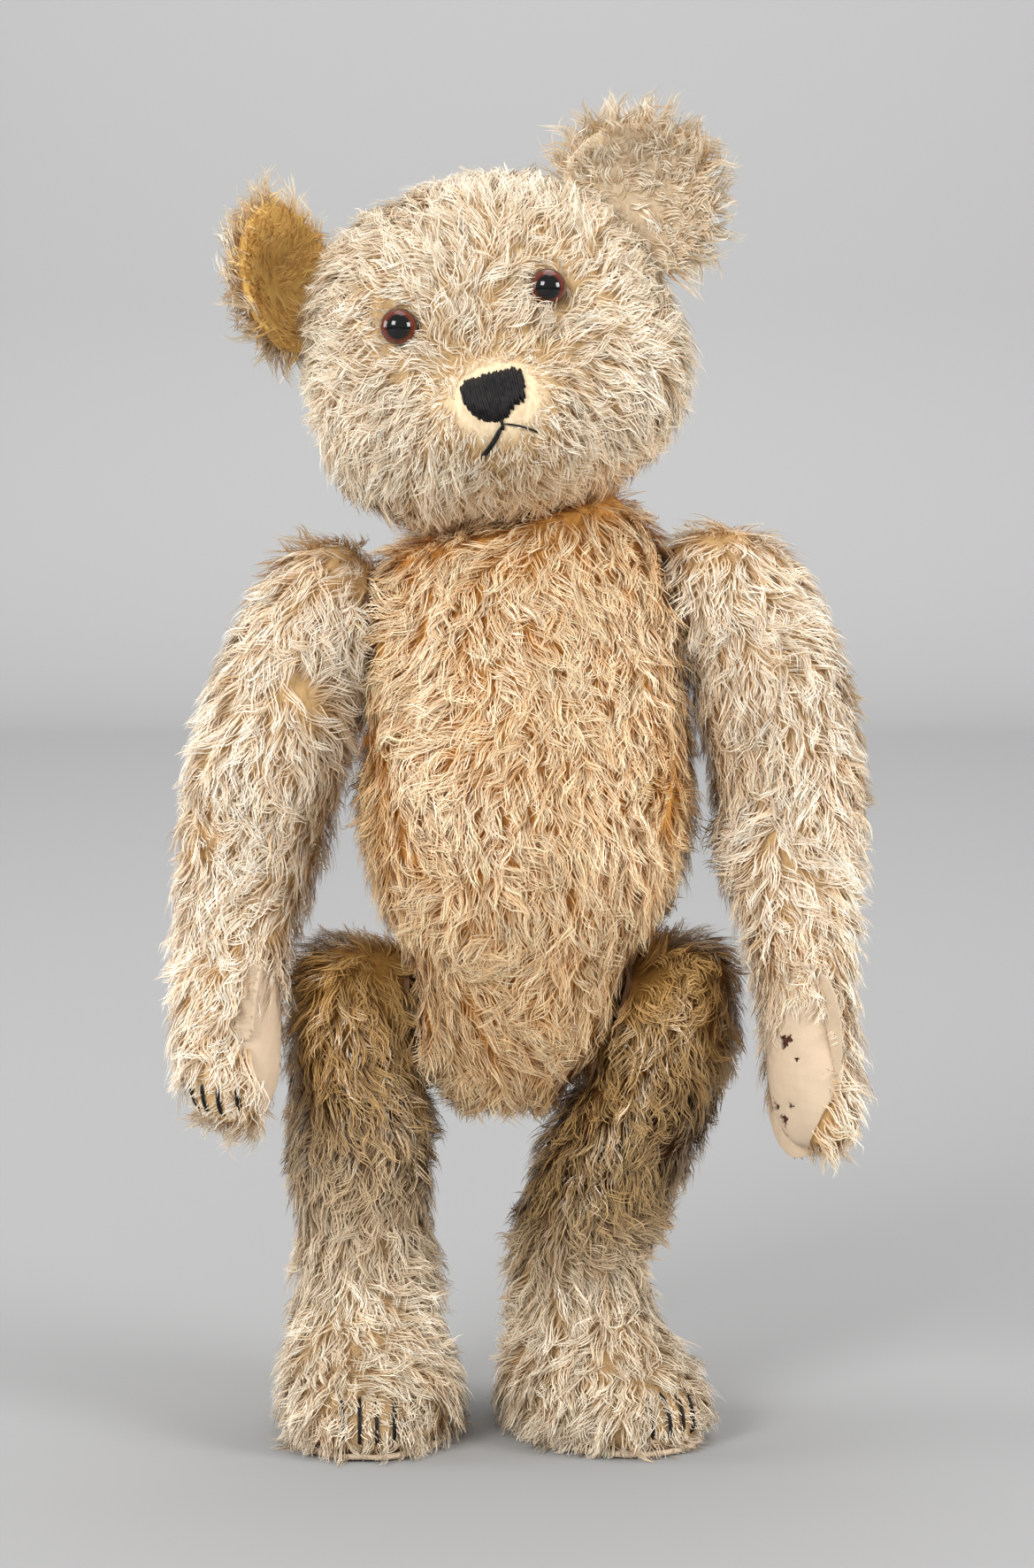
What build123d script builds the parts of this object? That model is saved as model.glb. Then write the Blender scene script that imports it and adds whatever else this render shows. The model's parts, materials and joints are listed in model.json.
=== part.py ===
from build123d import *

import os
from math import cos, radians, sin

# A disc-jointed mohair teddy bear, standing. It faces -Y, its own left is +X, and it rests on z = 0.

# ------------------------------------------------------------------ driving dimensions, millimetres

WALL = 2.5  # woven backing with the packed roots of the pile
EASE = 0.3  # room between a skin and its filling
JOINT_GAP = 0.5  # between the two fabric faces of a disc joint
DISC_THICK = 3.0
WASHER_THICK = 1.0
WASHER_RADIUS = 9.0
PIN_RADIUS = 2.0
PIN_HOLE = 2.05
PIN_EYE = (2.4, 1.2)  # ring and wire radius of the eye at a cotter pin's head
PIN_CROWN = (2.6, 1.4)  # ring and wire radius of its two curled ends
PIN_ROOM = 8.0  # free room beyond the last washer
STACK_PLAY = 0.1  # between a washer and the end of its pin
STITCH = 1.2  # how far a row of thread stands off the fabric
FELT = 2.5
INSOLE = 2.0

# A disc joint: centre, axis away from the torso, disc radius.
NECK_ROLL = 14.8
NECK_AXIS = (-sin(radians(NECK_ROLL)), 0, cos(radians(NECK_ROLL)))
SHOULDER_TILT = 10
HIP_TILT_LEFT = 16

NECK = Plane(origin=(8, 0, 490), x_dir=(NECK_AXIS[2], 0, -NECK_AXIS[0]), z_dir=NECK_AXIS)
SHOULDERS = {
    "left": Plane(
        origin=(85, 0, 440),
        x_dir=(0, 1, 0),
        z_dir=(cos(radians(SHOULDER_TILT)), 0, sin(radians(SHOULDER_TILT))),
    ),
    "right": Plane(
        origin=(-75, 0, 430),
        x_dir=(0, 1, 0),
        z_dir=(-cos(radians(SHOULDER_TILT)), 0, sin(radians(SHOULDER_TILT))),
    ),
}
HIPS = {
    "left": Plane(
        origin=(52, 0, 225),
        x_dir=(0, 1, 0),
        z_dir=(cos(radians(HIP_TILT_LEFT)), 0, -sin(radians(HIP_TILT_LEFT))),
    ),
    "right": Plane(origin=(-52, 0, 225), x_dir=(0, 1, 0), z_dir=(-1, 0, 0)),
}
NECK_DISC = 34.0
SHOULDER_DISC = 29.0
HIP_DISC = 31.0
BOSS_MARGIN = 4.0  # flat fabric round a disc
SWING_MARGIN = 14.0  # the other body is pressed flat a little further out

# Oval sections: height, centre x, centre y, half width, half depth, turn in degrees.
TORSO = [
    (175, -5, 0, 24, 24, 0),
    (185, -3, 0, 32, 35, 0),
    (205, 0, 0, 43, 52, 0),
    (225, 1, 0, 50, 62, 0),
    (247, 2, -2, 57, 69, 0),
    (270, 4, -5, 68, 75, 0),
    (300, 6, -7, 81, 80, 0),
    (340, 7, -6, 86, 81, 0),
    (380, 7, -2, 85, 77, 0),
    (420, 6, 2, 82, 71, 0),
    (452, 7, 4, 78, 64, 0),
    (472, 8, 4, 71, 57, 0),
    (486, 9, 2, 61, 49, 0),
    (505, 6, 0, 44, 41, 0),
]
# The same six numbers in the head's own frame, from the neck disc upwards.
SKULL = [
    (0, 0, 0, 42, 40, 0),
    (7, 0, 0, 55, 50, 0),
    (20, 2, 0, 77, 67, 0),
    (38, 3, 1, 92, 79, 0),
    (58, 3, 2, 98, 86, 0),
    (80, 3, 3, 98, 88, 0),
    (100, 2, 4, 95, 88, 0),
    (120, 1, 5, 89, 84, 0),
    (138, 0, 5, 80, 77, 0),
    (152, 0, 6, 69, 68, 0),
    (163, 0, 6, 55, 55, 0),
    (171, 0, 6, 37, 38, 0),
    (175, 0, 6, 18, 18, 0),
]
# Muzzle, forwards from a point inside the head: distance, x, up, half width, half height, turn.
MUZZLE_HEIGHT = 52
MUZZLE = [
    (40, 0, -4, 58, 44, 0),
    (72, 0, -2, 49, 39, 0),
    (94, 0, 0, 39, 33, 0),
    (108, 0, 2, 29, 26, 0),
    (115, 0, 3, 20, 18, 0),
    (119, 0, 4, 10, 9, 0),
]
ARMS = {
    "left": [
        (160, 160, -63, 11, 14, 0),
        (168, 160, -60, 20, 24, 0),
        (190, 158, -53, 25, 32, 0),
        (219, 155, -44, 25, 33, 0),
        (250, 153, -32, 26, 32, 0),
        (280, 149, -19, 31, 33, 0),
        (316, 146, -8, 37, 38, 0),
        (364, 142, -2, 40, 41, 0),
        (412, 131, 0, 39.5, 43, 0),
        (440, 123, 0, 37, 41, 0),
        (463, 115, 0, 32, 35, 0),
        (477, 110, 0, 22, 25, 0),
        (483, 108, 0, 12, 14, 0),
    ],
    "right": [
        (172, -146, -60, 11, 13, 0),
        (180, -147, -58, 19, 22, 0),
        (196, -148, -53, 26, 30, 0),
        (218, -149, -45, 28, 34, 0),
        (242, -149, -36, 28, 34, 0),
        (268, -146, -23, 31, 34, 0),
        (300, -140, -9, 37, 38, 0),
        (345, -132, -2, 40, 41, 0),
        (391, -121, 0, 40, 42, 0),
        (415, -114, 0, 36, 41, 0),
        (438, -107, 0, 31, 37, 0),
        (456, -102, 0, 26, 32, 0),
        (468, -98, 0, 19, 23, 0),
        (474, -96, 0, 11, 13, 0),
    ],
}
LEGS = {
    "left": [
        (0, 47, -25, 41, 61, 37),
        (6, 47, -25, 45, 65, 37),
        (22, 47, -25, 47, 66, 37),
        (40, 44, -20, 44, 59, 36),
        (55, 40, -12, 38, 48, 32),
        (70, 36, -4, 36, 42, 22),
        (88, 35, 0, 36, 39, 10),
        (108, 41, 0, 37.5, 39, 0),
        (128, 48, 0, 40, 41, 0),
        (150, 57, 0, 42, 43, 0),
        (170, 65, 0, 39, 45, 0),
        (190, 75, 0, 37, 46, 0),
        (208, 82, 0, 37, 46, 0),
        (226, 85, 0, 34, 44, 0),
        (244, 88, 0, 31, 39, 0),
        (257, 90, 0, 24, 30, 0),
        (263, 91, 0, 15, 18, 0),
    ],
    "right": [
        (0, -76, -26, 41, 60, 0),
        (6, -76, -26, 45, 65, 0),
        (22, -76, -26, 47, 66, 0),
        (40, -77, -21, 45, 58, 0),
        (55, -77, -13, 39, 48, 0),
        (70, -78, -5, 37, 43, 0),
        (98, -80, 0, 36, 41, 0),
        (128, -81, 0, 37, 43, 0),
        (150, -81, 0, 38, 45, 0),
        (175, -82, 0, 37, 46, 0),
        (200, -83, 0, 36, 46, 0),
        (222, -84, 0, 35, 44, 0),
        (242, -85, 0, 31, 39, 0),
        (256, -86, 0, 24, 30, 0),
        (262, -87, 0, 15, 18, 0),
    ],
}

# Ears, in the head's frame: centre, the way that the inside of the cup faces, and its size.
EARS = {
    "left": ((96, 8, 143), (-0.10, -0.99, 0.0)),
    "right": ((-101, 8, 149), (0.86, -0.51, 0.0)),
}
EAR_RADIUS = 40.0
EAR_CURVE = 62.0
EAR_LAYER = 2.2

EYE_RADIUS = 9.5
EYES = {"left": (39, -69, 110), "right": (-39, -69, 110)}
SHANK_LENGTH = 22.0

NOSE_WIDTH = 33.0
NOSE_HEIGHT = 26.0
NOSE_CENTRE = 62.0
NOSE_THICK = 2.0

# Half-widths of the gusset that runs over the head from the nose to the neck: y, half width.
GUSSET_START = 18  # above the middle of the muzzle
GUSSET = [(-124, 13), (-95, 17), (-60, 30), (-10, 34), (40, 30), (96, 20)]

# Felt pads: centre, the way that the pad faces, half width, half length.
PADS = {
    "left": ((157, -46, 202), (-0.40, -0.90, 0.12), 24, 46),
    "right": ((-148, -46, 214), (0.93, -0.36, 0.05), 25, 40),
}
PAW_CLAWS = {"left": (0.94, -0.34), "right": (-0.34, -0.94)}
CLAW_WIDTH = 1.6
CLAW_STEP = 9.0
CLAW_COUNT = 4
FOOT_CENTRES = {"left": (47, -25, 37), "right": (-75, -26, 0)}

# Tilt growler, upright in the belly.
GROWLER_X = 5
GROWLER_Y = 4
GROWLER_BASE = 268
GROWLER_HEIGHT = 64
GROWLER_RADIUS = 32
TUBE_WALL = 2
CAP_THICK = 2
BELLOWS_HEIGHT = 16
BELLOWS_RADIUS = 22
BELLOWS_PLEATS = 4
BELLOWS_WALL = 1.2
WEIGHT_RADIUS = 27
WEIGHT_HEIGHT = 14

FAR = 400.0  # longer than the bear is wide


# ------------------------------------------------------------------ helpers


def lofted(sections, base=Plane.XY):
    """A closed body through oval sections, each drawn as four quarter arcs that start alike."""
    with BuildPart() as body:
        for height, x, y, half_width, half_depth, turn in sections:
            with BuildSketch(base.offset(height)):
                with BuildLine():
                    for quarter in range(4):
                        EllipticalCenterArc(
                            (x, y), half_width, half_depth, 90 * quarter, arc_size=90, rotation=turn
                        )
                make_face()
        loft()
    return body.part


def resized(sections, grow, first=True, last=True):
    """The same sections, wider all round by grow and longer by it at the ends that are asked for."""
    rows = [(h, x, y, a + grow, b + grow, t) for h, x, y, a, b, t in sections]
    if first:
        rows[0] = (rows[0][0] - grow, *rows[0][1:])
    if last:
        rows[-1] = (rows[-1][0] + grow, *rows[-1][1:])
    return rows


def drum(plane, start, end, radius, bore=0.0):
    """A round slab about a joint's axis, from one distance along it to another."""
    with BuildPart() as body:
        with BuildSketch(plane.offset(start)):
            Circle(radius)
            if bore:
                Circle(bore, mode=Mode.SUBTRACT)
        extrude(amount=end - start)
    return body.part


def slab(low, high):
    """Everything between two heights."""
    with BuildPart() as body:
        with BuildSketch(Plane.XY.offset(low)):
            Rectangle(2 * FAR, 2 * FAR)
        extrude(amount=high - low)
    return body.part


def combined(first, joined=(), removed=(), kept=()):
    """One body from others: joined to the first, then cut by some, then kept inside some."""
    with BuildPart() as body:
        add(first)
        for part in joined:
            add(part)
        for part in removed:
            add(part, mode=Mode.SUBTRACT)
        for part in kept:
            add(part, mode=Mode.INTERSECT)
    return body.part


def halved(part, plane, keep):
    """The side of a body that lies above or below a plane."""
    with BuildPart() as body:
        add(part)
        split(bisect_by=plane, keep=keep)
    return body.part


PIECES = {}


def keep_piece(part, name):
    """Take a finished piece under its own name."""
    PIECES[name] = part


# ------------------------------------------------------------------ disc joints


def stack_depth():
    """From a joint's middle to the outside of its last washer."""
    return JOINT_GAP / 2 + WALL + DISC_THICK + WASHER_THICK


def disc_and_washer(joint, side, radius):
    """Hardboard disc and steel washer on the limb side (1) or the torso side (-1)."""
    inside = side * (JOINT_GAP / 2 + WALL)
    under = inside + side * DISC_THICK
    disc = drum(joint, inside, under, radius, PIN_HOLE)
    washer = drum(joint, under, under + side * WASHER_THICK, WASHER_RADIUS, PIN_HOLE)
    return disc, washer


def cotter_pin(joint):
    """Split pin with an eye in the limb and its two ends curled over the torso's washer."""
    eye = stack_depth() + sum(PIN_EYE) + STACK_PLAY
    crown = stack_depth() + PIN_CROWN[1] + STACK_PLAY
    with BuildPart() as pin:
        with BuildSketch(joint.offset(-crown)):
            Circle(PIN_RADIUS)
        extrude(amount=crown + eye - PIN_EYE[0])
        with Locations(joint.offset(eye).location):
            Torus(*PIN_EYE, rotation=(90, 0, 0))
        for side in (-1, 1):
            with Locations(joint.offset(-crown).location * Pos(side * (PIN_CROWN[0] + 0.6), 0, 0)):
                Torus(*PIN_CROWN)
    return pin.part


def pocket(joint, side, radius):
    """Room in the filling for the disc, washer and pin end on one side of a joint."""
    inside = side * JOINT_GAP / 2
    disc_end = side * (JOINT_GAP / 2 + WALL + DISC_THICK + EASE)
    pin_end = side * (stack_depth() + PIN_ROOM)
    wide = drum(joint, inside, disc_end, radius + EASE)
    narrow = drum(joint, disc_end, pin_end, WASHER_RADIUS + EASE)
    return [wide, narrow]


def boss_reach(flat):
    """How far a limb's round boss runs into it from the joint."""
    return 0.45 * flat + 18


def limb_shell(sections, joint, disc_radius, closed=True):
    """Outer and inner bodies of a limb, flat where its joint is."""
    flat = disc_radius + BOSS_MARGIN
    reach = boss_reach(flat)
    clear = drum(joint, -60, JOINT_GAP / 2, flat + SWING_MARGIN)
    outer = combined(
        lofted(sections),
        joined=[drum(joint, JOINT_GAP / 2, reach, flat)],
        removed=[clear],
    )
    inside = JOINT_GAP / 2 + WALL
    keep_off = drum(joint, -60, inside, flat + SWING_MARGIN)
    inner = combined(
        lofted(resized(sections, -WALL, first=closed)),
        joined=[drum(joint, inside, reach, flat - WALL)],
        removed=[keep_off],
    )
    return outer, inner


def limb_filling(sections, joint, disc_radius, closed=True, extra=()):
    """Wood wool inside a limb, clear of the joint's hardware."""
    flat = disc_radius + BOSS_MARGIN
    inside = JOINT_GAP / 2 + WALL + EASE
    body = combined(
        lofted(resized(sections, -WALL - EASE, first=closed)),
        joined=[drum(joint, inside, boss_reach(flat), flat - WALL - EASE)],
        removed=[drum(joint, -60, inside, flat + SWING_MARGIN)],
    )
    return combined(body, removed=[*pocket(joint, 1, disc_radius), *extra])


# ------------------------------------------------------------------ torso


def make_torso():
    """Four mohair panels, filling, and the flat seats of the five joints."""
    joints = [(NECK, NECK_DISC), *[(j, SHOULDER_DISC) for j in SHOULDERS.values()]]
    joints += [(j, HIP_DISC) for j in HIPS.values()]
    bodies = {}
    for name, back in (("outer", 0), ("inner", WALL), ("fill", WALL + EASE)):
        body = lofted(resized(TORSO, -back, last=False))
        for joint, radius in joints[1:]:
            seat = drum(joint, -30, -JOINT_GAP / 2 - back, radius + BOSS_MARGIN - back)
            body = combined(body, joined=[seat])
        for joint, radius in joints:
            margin = FAR if joint is NECK else radius + BOSS_MARGIN + SWING_MARGIN
            body = combined(body, removed=[drum(joint, -JOINT_GAP / 2 - back, 60, margin)])
        bodies[name] = body
    holes = [drum(joint, -40, 40, PIN_HOLE) for joint, _ in joints]
    skin = combined(bodies["outer"], removed=[bodies["inner"], *holes])
    middle = Plane.YZ.offset(GROWLER_X)
    side_seams = Plane(origin=(0, 0, 0), z_dir=(0, 1, 0))
    for depth, keep in (("front", Keep.BOTTOM), ("back", Keep.TOP)):
        half = halved(skin, side_seams, keep)
        keep_piece(halved(half, middle, Keep.TOP), f"torso_{depth}_left")
        keep_piece(halved(half, middle, Keep.BOTTOM), f"torso_{depth}_right")
    rooms = [slab_round(GROWLER_BASE - EASE, GROWLER_BASE + GROWLER_HEIGHT + EASE, GROWLER_RADIUS + EASE)]
    for joint, radius in joints:
        rooms += pocket(joint, -1, radius)
    keep_piece(combined(bodies["fill"], removed=rooms), "torso_stuffing")

    discs = [disc_and_washer(joint, -1, radius) for joint, radius in joints]
    keep_piece(discs[0][0], "neck_disc_lower")
    keep_piece(Compound([discs[1][0], discs[2][0]]), "shoulder_discs_inner")
    keep_piece(Compound([discs[3][0], discs[4][0]]), "hip_discs_inner")
    keep_piece(Compound([washer for _, washer in discs]), "joint_washers_inner")
    keep_piece(Compound([cotter_pin(joint) for joint, _ in joints]), "cotter_pins")


# ------------------------------------------------------------------ growler


def slab_round(low, high, radius, bore=0.0):
    """A round slab or ring about the growler's upright axis."""
    return drum(Plane(origin=(GROWLER_X, GROWLER_Y, 0)), low, high, radius, bore)


def make_growler():
    """Cardboard tube with pierced ends, bellows with a reed, and a weight that slides in the tube."""
    top = GROWLER_BASE + GROWLER_HEIGHT
    tube_radius = GROWLER_RADIUS - TUBE_WALL
    case = slab_round(GROWLER_BASE + CAP_THICK, top - CAP_THICK, GROWLER_RADIUS, tube_radius)
    keep_piece(case, "growler_case")

    with BuildPart() as caps:
        for height in (GROWLER_BASE, top - CAP_THICK):
            with BuildSketch(Plane(origin=(GROWLER_X, GROWLER_Y, height))):
                Circle(GROWLER_RADIUS)
                with PolarLocations(12, 6):
                    Circle(2.2, mode=Mode.SUBTRACT)
            extrude(amount=CAP_THICK)
    keep_piece(caps.part, "growler_end_caps")

    floor = GROWLER_BASE + CAP_THICK
    pleat = BELLOWS_HEIGHT / (2 * BELLOWS_PLEATS)
    zigzag = [
        (BELLOWS_RADIUS - (0 if i % 2 else 3), floor + i * pleat) for i in range(2 * BELLOWS_PLEATS + 1)
    ]
    inside = [
        (r - 2 * BELLOWS_WALL, min(max(h, floor + BELLOWS_WALL), floor + BELLOWS_HEIGHT - BELLOWS_WALL))
        for r, h in zigzag
    ]
    with BuildPart() as bellows:
        with BuildSketch(Plane(origin=(GROWLER_X, GROWLER_Y, 0), x_dir=(1, 0, 0), z_dir=(0, -1, 0))):
            with BuildLine():
                Polyline((9, zigzag[0][1]), *zigzag, (0, zigzag[-1][1]), (0, inside[-1][1]),
                         *inside[::-1], (9, inside[0][1]), close=True)
            make_face()
        revolve(axis=Axis((GROWLER_X, GROWLER_Y, 0), (0, 0, 1)))
    keep_piece(bellows.part, "growler_bellows")

    weight_base = floor + BELLOWS_HEIGHT + 0.2
    with BuildPart() as weight:
        with BuildSketch(Plane(origin=(GROWLER_X, GROWLER_Y, weight_base))):
            Circle(WEIGHT_RADIUS)
        extrude(amount=WEIGHT_HEIGHT)
        chamfer(weight.edges().filter_by(GeomType.CIRCLE), 1.5)
    keep_piece(weight.part, "growler_weight")

    with BuildPart() as reed:
        with BuildSketch(Plane(origin=(GROWLER_X, GROWLER_Y, floor))):
            Rectangle(10, 8)
            Circle(1.5, mode=Mode.SUBTRACT)
        extrude(amount=4)
        with BuildSketch(Plane(origin=(GROWLER_X, GROWLER_Y, floor + 4))):
            Rectangle(10, 4)
        extrude(amount=0.5)
    keep_piece(reed.part, "growler_reed")


# ------------------------------------------------------------------ head


def head_place(x, y, z):
    """A point of the head's own frame as a place of the bear's frame."""
    return NECK.from_local_coords((x, y, z))


def head_direction(x, y, z):
    """A direction of the head's own frame in the bear's frame."""
    return NECK.from_local_coords((x, y, z)) - NECK.from_local_coords((0, 0, 0))


MUZZLE_FRAME = Plane(
    origin=head_place(0, 0, MUZZLE_HEIGHT), x_dir=head_direction(1, 0, 0), z_dir=(0, -1, 0)
)


def head_body(grow, bottom):
    """Skull and muzzle as one body, wider all round by grow and starting above the neck plane."""
    skull = lofted(resized(SKULL, grow, first=False), NECK)
    muzzle = lofted(resized(MUZZLE, grow, first=False), MUZZLE_FRAME)
    return combined(skull, joined=[muzzle], removed=[drum(NECK, -60, bottom, FAR)])


def ear_frame(side):
    """Plane through the middle of an ear, facing the way its cup opens."""
    centre, facing = EARS[side]
    return Plane(origin=head_place(*centre), x_dir=head_direction(0, 0, 1), z_dir=head_direction(*facing))


def ear_layer(side, depth, head):
    """One cloth layer of an ear: a thin cup cut round and trimmed to the head."""
    frame = ear_frame(side)
    with BuildPart() as layer:
        with Locations(frame.offset(EAR_CURVE).location):
            Sphere(EAR_CURVE + depth + EAR_LAYER)
            Sphere(EAR_CURVE + depth, mode=Mode.SUBTRACT)
        with BuildSketch(frame.offset(-20)):
            Circle(EAR_RADIUS)
        extrude(amount=20 + EAR_CURVE / 2, mode=Mode.INTERSECT)
        add(head, mode=Mode.SUBTRACT)
    return layer.part.solids().sort_by(SortBy.VOLUME)[-1]


def thread_line(start, end, head, cover):
    """A row of thread on the muzzle between two points (across, up) of the head's frame."""
    across, up = end[0] - start[0], end[1] - start[1]
    length = (across**2 + up**2) ** 0.5
    frame = Plane(
        origin=head_place((start[0] + end[0]) / 2, -80, (start[1] + end[1]) / 2),
        x_dir=head_direction(across, 0, up),
        z_dir=(0, -1, 0),
    )
    with BuildPart() as thread:
        with BuildSketch(frame):
            Rectangle(length, 2.2)
        extrude(amount=60)
        add(cover, mode=Mode.INTERSECT)
        add(head, mode=Mode.SUBTRACT)
    return thread.part.solids().sort_by(SortBy.VOLUME)[-1]


def make_head():
    """Gusset, two side panels, filling, ears, glass eyes on wire shanks, nose and mouth."""
    outer = head_body(0, JOINT_GAP / 2)
    inner = head_body(-WALL, JOINT_GAP / 2 + WALL)
    sockets = [eye_ball(side, 0.05) for side in EYES]
    shank_room = [shank(side, 0.2) for side in EYES]
    hole = drum(NECK, -20, 20, PIN_HOLE)
    skin = combined(outer, removed=[inner, hole, *sockets, *shank_room])

    with BuildPart() as strip:
        with BuildSketch(NECK):
            with BuildLine():
                Polyline(*[(w, y) for y, w in GUSSET], *[(-w, y) for y, w in GUSSET[::-1]], close=True)
            make_face()
        extrude(amount=220)
        with BuildSketch(MUZZLE_FRAME):
            with Locations((0, GUSSET_START - FAR / 2)):
                Rectangle(FAR, FAR)
        extrude(amount=FAR, mode=Mode.SUBTRACT)
    gusset_room = strip.part
    keep_piece(combined(skin, kept=[gusset_room]), "head_gusset")
    sides = combined(skin, removed=[gusset_room])
    middle = Plane(origin=NECK.origin, z_dir=head_direction(1, 0, 0))
    keep_piece(halved(sides, middle, Keep.TOP), "head_side_left")
    keep_piece(halved(sides, middle, Keep.BOTTOM), "head_side_right")

    filling = head_body(-WALL - EASE, JOINT_GAP / 2 + WALL + EASE)
    rooms = [*pocket(NECK, 1, NECK_DISC), *[eye_ball(side, EASE) for side in EYES]]
    rooms += [shank(side, 0.2) for side in EYES]
    keep_piece(combined(filling, removed=rooms), "head_stuffing")

    for side in EYES:
        keep_piece(eye_ball(side, 0), f"eye_{side}")
    keep_piece(
        Compound([combined(shank(side, 0), removed=[eye_ball(side, 0.05)]) for side in EYES]),
        "eye_shanks",
    )
    for side in EARS:
        keep_piece(ear_layer(side, 0, outer), f"ear_front_{side}")
        keep_piece(ear_layer(side, EAR_LAYER + 0.1, outer), f"ear_back_{side}")

    disc, washer = disc_and_washer(NECK, 1, NECK_DISC)
    keep_piece(disc, "neck_disc_upper")
    keep_piece(washer, "neck_washer_upper")
    make_face_stitches(outer)


def eye_ball(side, grow):
    """A glass eye as a ball set half into the face."""
    with BuildPart() as ball:
        with Locations(Pos(head_place(*EYES[side]))):
            Sphere(EYE_RADIUS + grow)
    return ball.part


def shank(side, grow):
    """Straight wire from the back of an eye into the filling."""
    centre = EYES[side]
    frame = Plane(origin=head_place(*centre), z_dir=(0, 1, 0))
    with BuildPart() as wire:
        with BuildSketch(frame):
            Circle(1.1 + grow)
        extrude(amount=SHANK_LENGTH + grow)
    return wire.part


def make_face_stitches(outer):
    """Satin-stitched nose shield and three rows of thread for the mouth."""
    nose_cover = head_body(NOSE_THICK, JOINT_GAP / 2)
    half = NOSE_WIDTH / 2
    frame = Plane(origin=head_place(0, -70, NOSE_CENTRE), x_dir=head_direction(1, 0, 0), z_dir=(0, -1, 0))
    with BuildPart() as nose:
        with BuildSketch(frame):
            with BuildLine():
                top = NOSE_HEIGHT / 2
                Polyline((-half, top - 4), (-half * 0.9, top), (half * 0.9, top), (half, top - 4))
                ThreePointArc((half, top - 4), (half * 0.62, -top * 0.72), (0, -top))
                ThreePointArc((0, -top), (-half * 0.62, -top * 0.72), (-half, top - 4))
            make_face()
        extrude(amount=70)
        add(nose_cover, mode=Mode.INTERSECT)
        add(outer, mode=Mode.SUBTRACT)
    keep_piece(nose.part.solids().sort_by(SortBy.VOLUME)[-1], "nose_embroidery")

    cover = head_body(STITCH, JOINT_GAP / 2)
    foot = NOSE_CENTRE - NOSE_HEIGHT / 2 - 0.5
    rows = [
        ((0, foot), (0, foot - 8)),
        ((-1.6, foot - 9.5), (-15, foot - 21)),
        ((1.6, foot - 9.5), (17, foot - 16)),
    ]
    keep_piece(Compound([thread_line(a, b, outer, cover) for a, b in rows]), "mouth_stitches")


# ------------------------------------------------------------------ arms and legs


def seam_halves(skin, plane, name):
    """Outer and inner panels of a limb, on either side of the seam down its front and back. A scrap that a felt
    pad cuts off the inner panel is part of the outer one."""
    *scraps, inner = halved(skin, plane, Keep.BOTTOM).solids().sort_by(SortBy.VOLUME)
    keep_piece(combined(halved(skin, plane, Keep.TOP), joined=scraps), f"{name}_outer_panel")
    keep_piece(inner, f"{name}_inner_panel")


def make_hardware(joint, radius, name):
    """Limb-side disc and washer."""
    disc, washer = disc_and_washer(joint, 1, radius)
    keep_piece(disc, f"{name}_disc")
    keep_piece(washer, f"{name}_washer")


def claw_rows(outer, sections, centre, facing, low, high):
    """Four short rows of thread side by side on the front of a paw or foot."""
    cover = lofted(resized(sections, STITCH, first=False, last=False))
    x, y, _ = centre
    across = (-facing[1], facing[0])
    rows = []
    for i in range(CLAW_COUNT):
        offset = (i - (CLAW_COUNT - 1) / 2) * CLAW_STEP
        frame = Plane(
            origin=(x + across[0] * offset, y + across[1] * offset, (low + high) / 2),
            x_dir=(across[0], across[1], 0),
            z_dir=(facing[0], facing[1], 0),
        )
        with BuildPart() as row:
            with BuildSketch(frame):
                Rectangle(CLAW_WIDTH, high - low)
            extrude(amount=120)
            add(cover, mode=Mode.INTERSECT)
            add(outer, mode=Mode.SUBTRACT)
        rows.append(row.part.solids().sort_by(SortBy.VOLUME)[-1])
    return Compound(rows)


def make_arm(side):
    """An arm: outer and inner mohair panels, felt pad, filling, claws and its joint hardware."""
    joint = SHOULDERS[side]
    sections = ARMS[side]
    outer, inner = limb_shell(sections, joint, SHOULDER_DISC)
    skin = combined(outer, removed=[inner, drum(joint, -20, 20, PIN_HOLE)])

    centre, facing, half_width, half_length = PADS[side]
    pad_frame = Plane(origin=centre, x_dir=(-facing[1], facing[0], 0), z_dir=facing)
    with BuildPart() as pad_room:
        with BuildSketch(pad_frame):
            Ellipse(half_width, half_length)
        extrude(amount=60)
    keep_piece(combined(skin, kept=[pad_room.part]), f"paw_pad_{side}")
    skin = combined(skin, removed=[pad_room.part])

    high, low = sections[8], sections[3]
    along = Vector(high[1] - low[1], high[2] - low[2], high[0] - low[0])
    outward = Vector(0, 1, 0).cross(along)
    if outward.X * joint.z_dir.X < 0:
        outward = -outward
    seam = Plane(origin=(high[1], 0, high[0]), z_dir=outward)
    seam_halves(skin, seam, f"arm_{side}")
    keep_piece(limb_filling(sections, joint, SHOULDER_DISC), f"arm_{side}_stuffing")
    make_hardware(joint, SHOULDER_DISC, f"arm_{side}")

    x, y = sections[2][1], sections[2][2]
    low_edge = sections[0][0] + 8
    claws = claw_rows(outer, sections, (x, y, 0), PAW_CLAWS[side], low_edge, low_edge + 18)
    keep_piece(claws, f"arm_{side}_claws")


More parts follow.
